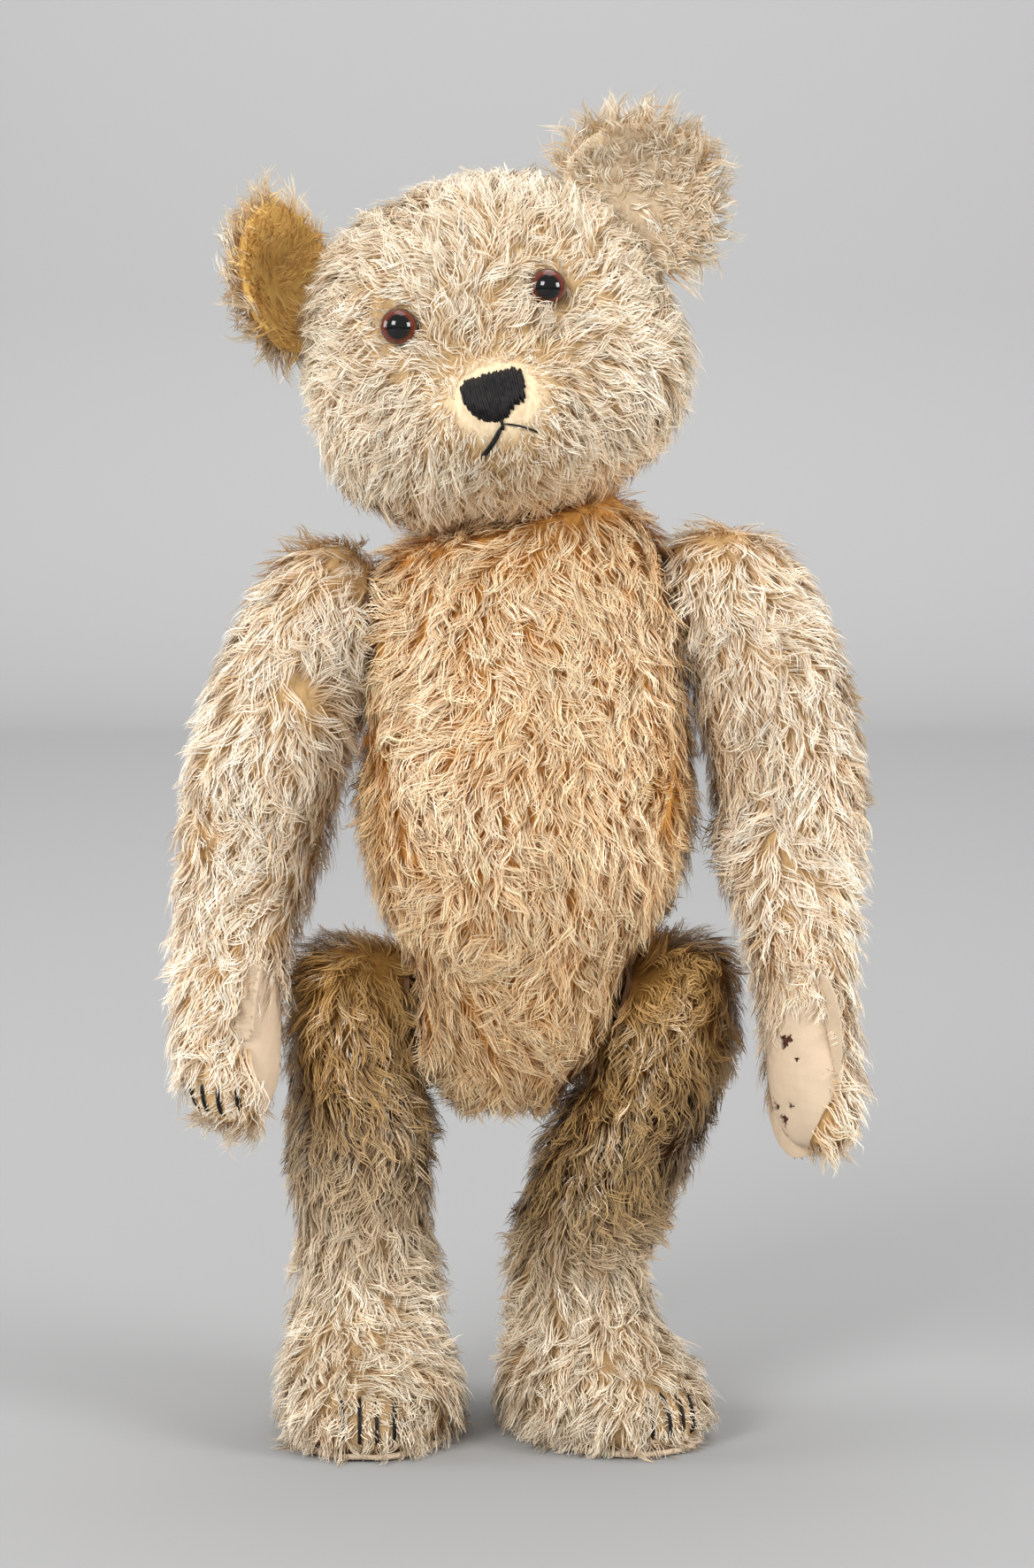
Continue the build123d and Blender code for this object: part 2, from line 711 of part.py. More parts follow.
def make_leg(side):
    """A leg: two mohair panels, felt sole, insole board, filling, claws and its joint hardware."""
    joint = HIPS[side]
    sections = LEGS[side]
    outer, inner = limb_shell(sections, joint, HIP_DISC, closed=False)
    above_sole = slab(FELT, FAR * 2)
    skin = combined(outer, removed=[inner, drum(joint, -20, 20, PIN_HOLE)], kept=[above_sole])
    keep_piece(combined(outer, kept=[slab(0, FELT)]), f"sole_{side}")
    inside = combined(inner, kept=[slab(FELT, FELT + INSOLE)])
    keep_piece(inside, f"insole_board_{side}")

    seam = Plane(origin=(sections[-4][1], 0, sections[-4][0]), z_dir=seam_tilt(side))
    seam_halves(skin, seam, f"leg_{side}")
    below = slab(-10, FELT + INSOLE + EASE)
    keep_piece(limb_filling(sections, joint, HIP_DISC, closed=False, extra=[below]), f"leg_{side}_stuffing")
    make_hardware(joint, HIP_DISC, f"leg_{side}")

    x, y, turn = FOOT_CENTRES[side]
    facing = (sin(radians(turn)), -cos(radians(turn)))
    keep_piece(claw_rows(outer, sections, (x, y, 0), facing, 8, 34), f"leg_{side}_claws")


def seam_tilt(side):
    """Square to the leg's own lean, so that the seam plane runs down its middle."""
    top, foot = LEGS[side][-4], LEGS[side][2]
    along = Vector(top[1] - foot[1], 0, top[0] - foot[0])
    outward = Vector(0, 1, 0).cross(along)
    if outward.X * HIPS[side].z_dir.X < 0:
        outward = -outward
    return outward


# ------------------------------------------------------------------ the whole bear


def write_all():
    """Set every piece down round the middle of the bear's box and write it."""
    box = Compound(list(PIECES.values())).bounding_box()
    origin = Pos(-(box.min.X + box.max.X) / 2, -(box.min.Y + box.max.Y) / 2, -box.min.Z)
    os.makedirs("parts", exist_ok=True)
    for name, piece in PIECES.items():
        placed = origin * piece
        placed.label = name
        export_step(placed, f"parts/{name}.step")
    print("moved by", [round(v, 3) for v in origin.position], "size", box.size)
    for name, joint in (("neck", NECK), *SHOULDERS.items(), *HIPS.items()):
        print(name, [round(v, 3) for v in joint.origin + origin.position], tuple(joint.z_dir))


make_torso()
make_growler()
make_head()
for arm_side in SHOULDERS:
    make_arm(arm_side)
for leg_side in HIPS:
    make_leg(leg_side)
write_all()
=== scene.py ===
"""A disc-jointed mohair teddy bear: padded cloth bodies, curly pile, felt pads, glass eyes, stitches."""

import json
import math

import bpy
import numpy as np
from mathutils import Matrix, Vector
from mathutils.bvhtree import BVHTree


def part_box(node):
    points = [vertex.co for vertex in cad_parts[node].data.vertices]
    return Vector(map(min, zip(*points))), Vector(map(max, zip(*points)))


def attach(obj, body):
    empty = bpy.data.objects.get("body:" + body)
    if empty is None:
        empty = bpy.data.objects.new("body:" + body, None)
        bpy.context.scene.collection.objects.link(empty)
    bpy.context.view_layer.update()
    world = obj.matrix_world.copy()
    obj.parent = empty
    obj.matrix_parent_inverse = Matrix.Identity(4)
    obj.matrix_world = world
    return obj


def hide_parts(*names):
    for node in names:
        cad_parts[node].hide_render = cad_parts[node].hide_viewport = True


bl_info = {
    "name": "Mohair Teddy Bear",
    "version": (1, 0, 0),
    "blender": (4, 5, 0),
    "location": "3D View > Sidebar > Bear",
    "description": "Dresses a disc-jointed teddy bear in padded cloth, curly pile, felt and thread",
    "category": "Object",
}

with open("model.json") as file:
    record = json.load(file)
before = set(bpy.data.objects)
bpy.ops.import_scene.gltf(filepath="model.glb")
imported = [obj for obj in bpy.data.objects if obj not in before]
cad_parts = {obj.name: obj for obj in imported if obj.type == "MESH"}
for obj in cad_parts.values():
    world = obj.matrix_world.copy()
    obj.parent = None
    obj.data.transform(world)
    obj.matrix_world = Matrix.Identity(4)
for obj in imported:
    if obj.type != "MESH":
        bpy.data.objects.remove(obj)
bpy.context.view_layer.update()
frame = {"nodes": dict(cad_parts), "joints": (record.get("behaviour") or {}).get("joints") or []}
NODES = frame["nodes"]
JOINTS = {joint["name"]: joint for joint in frame["joints"]}
SIDES = ("left", "right")
UP = np.array((0.0, 0.0, 1.0))
MM = 0.001
NECK = np.array(JOINTS["head_turn"]["pos_m"])
HEAD_UP = np.array(JOINTS["head_turn"]["axis"])
HEAD_ACROSS = np.array((HEAD_UP[2], 0.0, -HEAD_UP[0]))
HEAD_FORWARD = np.array((0.0, -1.0, 0.0))


# ------------------------------------------------------------------ small helpers


def middle(node):
    """Middle of a CAD node's box, as an array."""
    low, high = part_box(node)
    return (np.array(low) + np.array(high)) / 2


def unit(v):
    """Vectors scaled to length one, along the last axis."""
    return v / np.maximum(np.linalg.norm(v, axis=-1, keepdims=True), 1e-9)


def smooth_step(low, high, value):
    """0 below low, 1 above high, and a smooth cubic in between."""
    t = np.clip((value - low) / (high - low), 0, 1)
    return t * t * (3 - 2 * t)


def ripple(points, size, seed):
    """Smooth noise from -1 to 1 at each point: a sum of eight sine waves of about that size."""
    rng = np.random.default_rng(seed)
    waves = unit(rng.normal(size=(8, 3))) * rng.uniform(0.7, 1.6, (8, 1)) * 2 * math.pi / size
    phases = rng.uniform(0, 2 * math.pi, 8)
    return np.sin(points @ waves.T + phases).sum(axis=1) / 4


def mesh_arrays(mesh):
    """Vertex places of a mesh, and its triangles, as arrays."""
    co = np.zeros(len(mesh.vertices) * 3, np.float32)
    mesh.vertices.foreach_get("co", co)
    mesh.calc_loop_triangles()
    tri = np.zeros(len(mesh.loop_triangles) * 3, np.int32)
    mesh.loop_triangles.foreach_get("vertices", tri)
    return co.reshape(-1, 3).astype(float), tri.reshape(-1, 3)


def new_object(name, mesh, material):
    """A linked object of one mesh and one material."""
    obj = bpy.data.objects.new(name, mesh)
    bpy.context.scene.collection.objects.link(obj)
    mesh.materials.append(material)
    return obj


def mesh_from(name, verts, faces, material, smooth=True):
    """An object from an array of vertices and an array of faces that all have as many corners."""
    mesh = bpy.data.meshes.new(name)
    corners = faces.shape[1]
    mesh.vertices.add(len(verts))
    mesh.vertices.foreach_set("co", np.ascontiguousarray(verts, np.float32).ravel())
    mesh.loops.add(faces.size)
    mesh.loops.foreach_set("vertex_index", faces.astype(np.int32).ravel())
    mesh.polygons.add(len(faces))
    mesh.polygons.foreach_set("loop_start", np.arange(len(faces), dtype=np.int32) * corners)
    mesh.polygons.foreach_set("loop_total", np.full(len(faces), corners, np.int32))
    mesh.polygons.foreach_set("use_smooth", np.full(len(faces), smooth))
    mesh.update(calc_edges=True)
    mesh.validate()
    return new_object(name, mesh, material)


def grid_faces(rows, columns, wrap=False):
    """Quads of a grid of vertices, row after row, closed round its columns if asked."""
    last = columns if wrap else columns - 1
    r, c = np.meshgrid(np.arange(rows - 1), np.arange(last), indexing="ij")
    a = r * columns + c
    b = r * columns + (c + 1) % columns
    return np.stack([a, b, b + columns, a + columns], -1).reshape(-1, 4)


def tree_of(obj):
    """Search tree over the triangles of an object."""
    co, tri = mesh_arrays(obj.data)
    return BVHTree.FromPolygons([Vector(p) for p in co], tri.tolist())


# ------------------------------------------------------------------ materials

MATERIALS = {}


def new_material(name, roughness, specular=0.5):
    """A material with its shader, and the helpers' short names for nodes and links."""
    material = bpy.data.materials.new(name)
    material.use_nodes = True
    shader = material.node_tree.nodes["Principled BSDF"]
    shader.inputs["Roughness"].default_value = roughness
    shader.inputs["Specular IOR Level"].default_value = specular
    return material, material.node_tree, shader


def add_noise(tree, scale, detail=3.0, stretch=(1, 1, 1)):
    """Noise on Object coordinates, in metres, stretched along the axes."""
    coords = tree.nodes.new("ShaderNodeTexCoord")
    mapping = tree.nodes.new("ShaderNodeMapping")
    mapping.inputs["Scale"].default_value = stretch
    noise = tree.nodes.new("ShaderNodeTexNoise")
    noise.inputs["Scale"].default_value = scale
    noise.inputs["Detail"].default_value = detail
    tree.links.new(coords.outputs["Object"], mapping.inputs["Vector"])
    tree.links.new(mapping.outputs["Vector"], noise.inputs["Vector"])
    return noise


def add_ramp(tree, factor, stops):
    """Colour ramp over a factor: (position, colour) stops."""
    ramp = tree.nodes.new("ShaderNodeValToRGB")
    ramp.color_ramp.elements[0].position = stops[0][0]
    ramp.color_ramp.elements[0].color = (*stops[0][1], 1)
    ramp.color_ramp.elements[1].position = stops[-1][0]
    ramp.color_ramp.elements[1].color = (*stops[-1][1], 1)
    for position, colour in stops[1:-1]:
        stop = ramp.color_ramp.elements.new(position)
        stop.color = (*colour, 1)
    tree.links.new(factor, ramp.inputs["Fac"])
    return ramp


def add_bump(tree, shader, height, strength, distance):
    """Bump from a height, into the shader's normal."""
    bump = tree.nodes.new("ShaderNodeBump")
    bump.inputs["Strength"].default_value = strength
    bump.inputs["Distance"].default_value = distance
    tree.links.new(height, bump.inputs["Height"])
    tree.links.new(bump.outputs["Normal"], shader.inputs["Normal"])


def shade(colour, factor):
    """A colour made darker or lighter by a factor."""
    return tuple(min(1.0, c * factor) for c in colour[:3])


def tint_by_attribute(tree, shader, ramp):
    """The attribute "pile" times a ramp, into the shader's colour."""
    own = tree.nodes.new("ShaderNodeVertexColor")
    own.layer_name = "pile"
    mix = tree.nodes.new("ShaderNodeMix")
    mix.data_type = "RGBA"
    mix.blend_type = "MULTIPLY"
    mix.inputs["Factor"].default_value = 1.0
    tree.links.new(own.outputs["Color"], mix.inputs["A"])
    tree.links.new(ramp.outputs["Color"], mix.inputs["B"])
    tree.links.new(mix.outputs["Result"], shader.inputs["Base Color"])


def kept_material(name, make, *values):
    """The material of this name, made the first time it is asked for."""
    if name not in MATERIALS:
        MATERIALS[name] = make(name, *values)
    return MATERIALS[name]


def pile_material(name):
    """Lustrous mohair: the strand's own colour, from the attribute "pile", with a little drift."""
    material, tree, shader = new_material(name, 0.30, 0.75)
    shader.inputs["Specular Tint"].default_value = (1.0, 0.95, 0.86, 1.0)
    drift = add_ramp(tree, add_noise(tree, 60).outputs["Fac"], [(0.3, (0.93, 0.91, 0.89)), (0.7, (1, 1, 1))])
    tint_by_attribute(tree, shader, drift)
    return material


def cloth_material(name):
    """Woven cotton backing under the pile: its colour, from the attribute "pile", broken up by the stubble
    of the pile, with fine crossed threads."""
    material, tree, shader = new_material(name, 0.9, 0.2)
    stubble = add_ramp(
        tree, add_noise(tree, 420, 4, (1, 1, 0.5)).outputs["Fac"],
        [(0.32, (0.80, 0.76, 0.70)), (0.62, (1, 1, 1))]
    )
    tint_by_attribute(tree, shader, stubble)
    weave = add_noise(tree, 900, 2, (1, 1, 0.35))
    add_bump(tree, shader, weave.outputs["Fac"], 0.35, 0.0006)
    return material


def felt_material(name, colour):
    """Wool felt: matted fibres, soft stains and a slight fuzz at grazing angles."""
    material, tree, shader = new_material(name, 0.95, 0.15)
    shader.inputs["Sheen Weight"].default_value = 0.12
    shader.inputs["Sheen Roughness"].default_value = 0.6
    stain = add_noise(tree, 45, 6)
    ramp = add_ramp(
        tree,
        stain.outputs["Fac"],
        [(0.28, shade(colour, 0.78)), (0.42, shade(colour, 0.93)), (0.7, colour)],
    )
    tree.links.new(ramp.outputs["Color"], shader.inputs["Base Color"])
    fibre = add_noise(tree, 1400, 4, (1, 0.5, 1))
    add_bump(tree, shader, fibre.outputs["Fac"], 0.5, 0.0005)
    return material


def thread_material(name, colour, worn):
    """Mercerised thread: dark strands with a faint gloss, worn paler in places."""
    material, tree, shader = new_material(name, 0.45, 0.2)
    wear = add_noise(tree, 420, 3)
    ramp = add_ramp(tree, wear.outputs["Fac"], [(0.35, colour), (0.72, worn)])
    tree.links.new(ramp.outputs["Color"], shader.inputs["Base Color"])
    ply = add_noise(tree, 2600, 2)
    add_bump(tree, shader, ply.outputs["Fac"], 0.4, 0.0003)
    return material


def eye_material(name, centre, radius, colours):
    """Glass eye seen down its axis: black pupil, red-brown iris, dark edge."""
    material, tree, shader = new_material(name, 0.03, 0.5)
    coords = tree.nodes.new("ShaderNodeTexCoord")
    mapping = tree.nodes.new("ShaderNodeMapping")
    mapping.inputs["Location"].default_value = (-centre[0], 0, -centre[2])
    mapping.inputs["Scale"].default_value = (1, 0, 1)
    length = tree.nodes.new("ShaderNodeVectorMath")
    length.operation = "LENGTH"
    share = tree.nodes.new("ShaderNodeMath")
    share.operation = "DIVIDE"
    share.inputs[1].default_value = radius
    tree.links.new(coords.outputs["Object"], mapping.inputs["Vector"])
    tree.links.new(mapping.outputs["Vector"], length.inputs[0])
    tree.links.new(length.outputs["Value"], share.inputs[0])
    pupil, iris, edge = colours
    ramp = add_ramp(
        tree,
        share.outputs["Value"],
        [(0.0, pupil), (0.62, pupil), (0.70, shade(iris, 0.7)), (0.86, iris), (0.95, edge)],
    )
    tree.links.new(ramp.outputs["Color"], shader.inputs["Base Color"])
    return material


def plain_material(name, colour, roughness, metallic, grain, scale):
    """An inner piece's finish: its colour broken up by grain, metal or not."""
    material, tree, shader = new_material(name, roughness)
    shader.inputs["Metallic"].default_value = metallic
    noise = add_noise(tree, scale, 4, (1, 1, 0.25))
    ramp = add_ramp(tree, noise.outputs["Fac"], [(0.35, shade(colour, 1 - grain)), (0.65, colour)])
    tree.links.new(ramp.outputs["Color"], shader.inputs["Base Color"])
    add_bump(tree, shader, noise.outputs["Fac"], 0.3, 0.0006)
    return material


# ------------------------------------------------------------------ sizes and colours


def metres(text, value, note):
    """A length property."""
    return bpy.props.FloatProperty(name=text, description=note, default=value, unit="LENGTH", precision=4)


def amount(text, value, note):
    """A plain number property."""
    return bpy.props.FloatProperty(name=text, description=note, default=value)


def colour_prop(text, value, note):
    """A colour property, in linear light."""
    return bpy.props.FloatVectorProperty(
        name=text, description=note, default=value, size=3, subtype="COLOR", min=0, max=1
    )


def linear(r, g, b):
    """A screen colour as linear light."""
    return tuple(((c + 0.055) / 1.055) ** 2.4 if c > 0.04 else c / 12.92 for c in (r, g, b))


class BearPadding(bpy.types.PropertyGroup):
    """How the cloth bodies are padded."""

    voxel: metres("Voxel", 0.0055, "Size of the remesh before the padding is blown up")
    ear_voxel: metres("Ear voxel", 0.0025, "Size of the remesh of the thin ears")
    tuck: metres("Tuck", 0.0030, "How far the cloth starts inside the skin")
    cap: metres("Swell", 0.0045, "The furthest that the padding may push the cloth")
    pressure: amount("Pressure", 4.0, "Pressure of the filling")


class BearPile(bpy.types.PropertyGroup):
    """Size of the mohair pile."""

    length: metres("Length", 0.0240, "Length of a strand, root to tip")
    width: metres("Width", 0.00062, "Width of a strand at its root")
    lock: metres("Lock", 0.0056, "Radius of the cloth that one lock grows from")
    per_lock: bpy.props.IntProperty(name="Strands", description="Strands in a lock", default=8)
    density: amount("Density", 30.0, "Strands on a square centimetre")
    curl: amount("Curl", 0.90, "How far a lock swings from side to side, in radians")


class BearColours(bpy.types.PropertyGroup):
    """Colours of the pile and trimmings."""

    head_tip: colour_prop("Head tips", linear(0.97, 0.93, 0.85), "Pile of the head at its tips")
    head_root: colour_prop("Head roots", linear(0.77, 0.64, 0.46), "Pile of the head at its roots")
    torso_tip: colour_prop("Torso tips", linear(0.99, 0.91, 0.76), "Pile of the torso at its tips")
    torso_root: colour_prop("Torso roots", linear(0.79, 0.56, 0.28), "Pile of the torso at its roots")
    arm_tip: colour_prop("Arm tips", linear(1.00, 0.96, 0.89), "Pile of the arms at its tips")
    arm_root: colour_prop("Arm roots", linear(0.83, 0.69, 0.49), "Pile of the arms at its roots")
    # The leg colours are partly the pile's own tan and partly painted shade: they are darker than the pile,
    # standing in for the shadow under the belly
    leg_tip: colour_prop("Leg tips", linear(0.80, 0.66, 0.44), "Pile of the legs at its tips")
    leg_root: colour_prop("Leg roots", linear(0.34, 0.20, 0.08), "Pile of the legs at its roots")
    ear_gold: colour_prop("Ear gold", linear(1.00, 0.82, 0.48), "Pile inside the ear that never faded")
    amber: colour_prop("Amber", linear(0.92, 0.69, 0.35), "Pile that kept its first colour")
    backing: colour_prop("Backing", linear(0.94, 0.85, 0.71), "Woven backing where the pile is worn")
    felt: colour_prop("Felt", linear(0.84, 0.75, 0.64), "Paw pads and soles")
    thread: colour_prop("Thread", linear(0.05, 0.05, 0.06), "Nose, mouth and claws")
    thread_worn: colour_prop("Worn thread", linear(0.16, 0.14, 0.13), "Thread where it is worn")
    iris: colour_prop("Iris", linear(0.42, 0.16, 0.09), "Glass eyes")
    hole: colour_prop("Filling", linear(0.36, 0.21, 0.14), "Filling seen through moth holes")


class BearStage(bpy.types.PropertyGroup):
    """Camera and light."""

    distance: metres("Distance", 2.2, "From the camera to the bear's middle")
    height: metres("Height", 0.60, "Camera above the floor")
    tilt: bpy.props.FloatProperty(
        name="Tilt", description="Camera below the horizon", default=math.radians(6.6), subtype="ANGLE"
    )
    lens: bpy.props.FloatProperty(name="Lens", description="Focal length, mm", default=96.1)
    backdrop: colour_prop("Backdrop", linear(0.75, 0.75, 0.75), "Floor and backdrop")


SETTINGS = {
    "bear_padding": BearPadding,
    "bear_pile": BearPile,
    "bear_colours": BearColours,
    "bear_stage": BearStage,
}


# ------------------------------------------------------------------ padded cloth bodies


def joined_copy(nodes, name, material):
    """One new object of copies of CAD nodes' meshes."""
    verts, faces, start = [], [], 0
    for node in nodes:
        co, tri = mesh_arrays(NODES[node].data)
        verts.append(co)
        faces.append(tri + start)
        start += len(co)
    return mesh_from(name, np.vstack(verts), np.vstack(faces), material)


def apply_modifiers(obj):
    """Replace an object's mesh by what its modifiers make of it."""
    depsgraph = bpy.context.evaluated_depsgraph_get()
    mesh = bpy.data.meshes.new_from_object(obj.evaluated_get(depsgraph))
    old = obj.data
    obj.modifiers.clear()
    obj.data = mesh
    bpy.data.meshes.remove(old)


def vertex_places(obj):
    """Vertex places of an object's mesh."""
    co = np.zeros(len(obj.data.vertices) * 3, np.float32)
    obj.data.vertices.foreach_get("co", co)
    return co.reshape(-1, 3).astype(float)


def vertex_normals(obj):
    """Vertex normals of an object's mesh."""
    normal = np.zeros(len(obj.data.vertices) * 3, np.float32)
    obj.data.vertices.foreach_get("normal", normal)
    return normal.reshape(-1, 3).astype(float)


def set_places(obj, co):
    """Write vertex places back."""
    obj.data.vertices.foreach_set("co", np.ascontiguousarray(co, np.float32).ravel())
    obj.data.update()


def largest_island(obj):
    """Keep only the biggest connected shell of a mesh."""
    mesh = obj.data
    edges = np.zeros(len(mesh.edges) * 2, np.int32)
    mesh.edges.foreach_get("vertices", edges)
    edges = edges.reshape(-1, 2)
    label = np.arange(len(mesh.vertices))
    while True:
        low = np.minimum(label[edges[:, 0]], label[edges[:, 1]])
        new = label.copy()
        np.minimum.at(new, edges[:, 0], low)
        np.minimum.at(new, edges[:, 1], low)
        new = new[new]
        if (new == label).all():
            break
        label = new
    names, counts = np.unique(label, return_counts=True)
    keep = label == names[np.argmax(counts)]
    if keep.all():
        return
    quads = [tuple(p.vertices) for p in mesh.polygons if keep[p.vertices[0]]]
    index = np.cumsum(keep) - 1
    co = vertex_places(obj)[keep]
    new_mesh = bpy.data.meshes.new(mesh.name)
    new_mesh.from_pydata(co.tolist(), [], [[int(index[v]) for v in q] for q in quads])
    for material in mesh.materials:
        new_mesh.materials.append(material)
    obj.data = new_mesh
    bpy.data.meshes.remove(mesh)


def node_tree(node):
    """Search tree of a CAD node, made once."""
    if node not in TREES:
        TREES[node] = tree_of(NODES[node])
    return TREES[node]


def part_distances(points, nodes):
    """Distance from each point to each CAD node's surface, one row for each node."""
    distance = np.full((len(nodes), len(points)), 1.0)
    for i, node in enumerate(nodes):
        tree = node_tree(node)
        for j, point in enumerate(points):
            found = tree.find_nearest(Vector(point), 0.06)
            if found[3] is not None:
                distance[i, j] = found[3]
    return distance


def padded_body(name, nodes, parts, voxel, material, tuck, cap, pressure):
    """A stuffed cloth body: CAD panels joined and remeshed, drawn in a little, then blown up by pressure
    with the seams between its parts held, and no point moved further than the cap."""
    obj = joined_copy(nodes, name, material)
    remesh = obj.modifiers.new("remesh", "REMESH")
    remesh.mode = "VOXEL"
    remesh.voxel_size = voxel
    apply_modifiers(obj)
    largest_island(obj)
    smooth = obj.modifiers.new("smooth", "SMOOTH")
    smooth.iterations = 4
    smooth.factor = 0.5
    apply_modifiers(obj)
    set_places(obj, vertex_places(obj) - vertex_normals(obj) * tuck)
    near = np.sort(part_distances(vertex_places(obj), parts), axis=0)[1]
    blow_up(obj, 1 - smooth_step(0.002, 0.012, near), cap, pressure)
    subdivide = obj.modifiers.new("subdivide", "SUBSURF")
    subdivide.levels = subdivide.render_levels = 1
    apply_modifiers(obj)
    co = vertex_places(obj)
    co[:, 2] = np.maximum(co[:, 2], FLOOR_GAP)
    set_places(obj, co)
    obj.data.polygons.foreach_set("use_smooth", np.ones(len(obj.data.polygons), bool))
    return obj


def blow_up(obj, held, cap, pressure):
    """Twenty frames of cloth under pressure, with each vertex pinned by its own share."""
    start = vertex_places(obj)
    pins = obj.vertex_groups.new(name="seams")
    for i in np.flatnonzero(held > 0.02):
        pins.add([int(i)], float(held[i]), "REPLACE")
    cloth = obj.modifiers.new("cloth", "CLOTH")
    cloth.settings.use_pressure = True
    cloth.settings.uniform_pressure_force = pressure
    cloth.settings.effector_weights.gravity = 0
    cloth.settings.vertex_group_mass = "seams"
    cloth.settings.quality = 4
    cloth.point_cache.frame_start = 1
    cloth.point_cache.frame_end = SIM_FRAMES
    scene = bpy.context.scene
    for i in range(1, SIM_FRAMES + 1):
        scene.frame_set(i)
    apply_modifiers(obj)
    moved = vertex_places(obj) - start
    far = np.linalg.norm(moved, axis=1, keepdims=True)
    set_places(obj, start + moved * np.minimum(1, cap / np.maximum(far, 1e-9)))
    scene.frame_set(1)


def paint(obj, colours):
    """Store a colour for every vertex in the attribute "pile"."""
    rgba = np.ones((len(obj.data.vertices), 4), np.float32)
    rgba[:, :3] = np.clip(colours, 0, 1)
    attribute = obj.data.color_attributes.new("pile", "FLOAT_COLOR", "POINT")
    attribute.data.foreach_set("color", rgba.ravel())


# ------------------------------------------------------------------ pile


def roots_on(obj, density, rng):
    """Points spread evenly over an object's surface, as many to a square metre as asked, with normals: one
    point at random in each equal share of the area."""
    co, tri = mesh_arrays(obj.data)
    a, b, c = (co[tri[:, i]] for i in range(3))
    area = np.linalg.norm(np.cross(b - a, c - a), axis=1) / 2
    total = area.sum()
    count = int(total * density)
    at = (np.arange(count) + rng.random(count)) * total / count
    pick = np.minimum(np.searchsorted(np.cumsum(area), at), len(tri) - 1)
    u, v = rng.random(count), rng.random(count)
    over = u + v > 1
    u[over], v[over] = 1 - u[over], 1 - v[over]
    share = np.stack([1 - u - v, u, v], 1)[..., None]
    points = (co[tri[pick]] * share).sum(1)
    normal = (vertex_normals(obj)[tri[pick]] * share).sum(1)
    return points, unit(normal)


def lock_lines(root, normal, flow, length, curl, rng):
    """Middle line of each lock: it leaves the cloth at a slant, lies over along the nap, and swings from
    side to side as a sine of its length. One more point than the steps, for every lock."""
    count = len(root)
    along = unit(flow - (flow * normal).sum(1, keepdims=True) * normal)
    side = np.cross(normal, along)
    phase = rng.uniform(0, 2 * math.pi, count)
    turns = rng.uniform(0.5, 1.0, count)
    swing = curl * rng.uniform(0.4, 1.3, count)
    lean = rng.normal(0, 0.30, count)
    rise_start = rng.uniform(0.55, 1.05, count)
    rise_end = rng.uniform(-0.12, 0.22, count)
    points = [root]
    for k in range(STEPS):
        t = (k + 0.5) / STEPS
        rise = rise_start + (rise_end - rise_start) * t**0.7
        bearing = lean + swing * np.sin(2 * math.pi * turns * t + phase) * min(1, 0.3 + t)
        flat = np.cos(bearing)[:, None] * along + np.sin(bearing)[:, None] * side
        step = unit(np.cos(rise)[:, None] * flat + np.sin(rise)[:, None] * normal - UP * 0.10 * t)
        points.append(points[-1] + step * (length / STEPS)[:, None])
    return np.stack(points, 1), along, side


def strand_lines(lines, along, side, normal, per_lock, spread, rng):
    """Strands of each lock: they start apart round its root and draw together towards its tip."""
    count = len(lines)
    angle = rng.uniform(0, 2 * math.pi, (count, per_lock))
    reach = np.sqrt(rng.random((count, per_lock))) * spread
    across = (np.cos(angle) * reach)[..., None] * along[:, None]
    across = across + (np.sin(angle) * reach)[..., None] * side[:, None]
    t = np.linspace(0, 1, STEPS + 1)
    gather = (1 - 0.62 * t**0.8)[:, None]
    scale = rng.uniform(0.7, 1.1, (count, per_lock))[..., None, None]
    body = (lines - lines[:, :1])[:, None]
    strands = lines[:, None, :1] + body * scale + across[:, :, None] * gather
    stray = rng.normal(0, 0.0008, (count, per_lock, 1, 3)) * t[:, None] ** 1.5
    wave = rng.normal(0, 0.00015, (count, per_lock, STEPS + 1, 3)) * t[:, None]
    fall = (reach**2 / 0.09)[..., None, None] * normal[:, None, None]
    return (strands + stray + wave - fall).reshape(count * per_lock, STEPS + 1, 3)


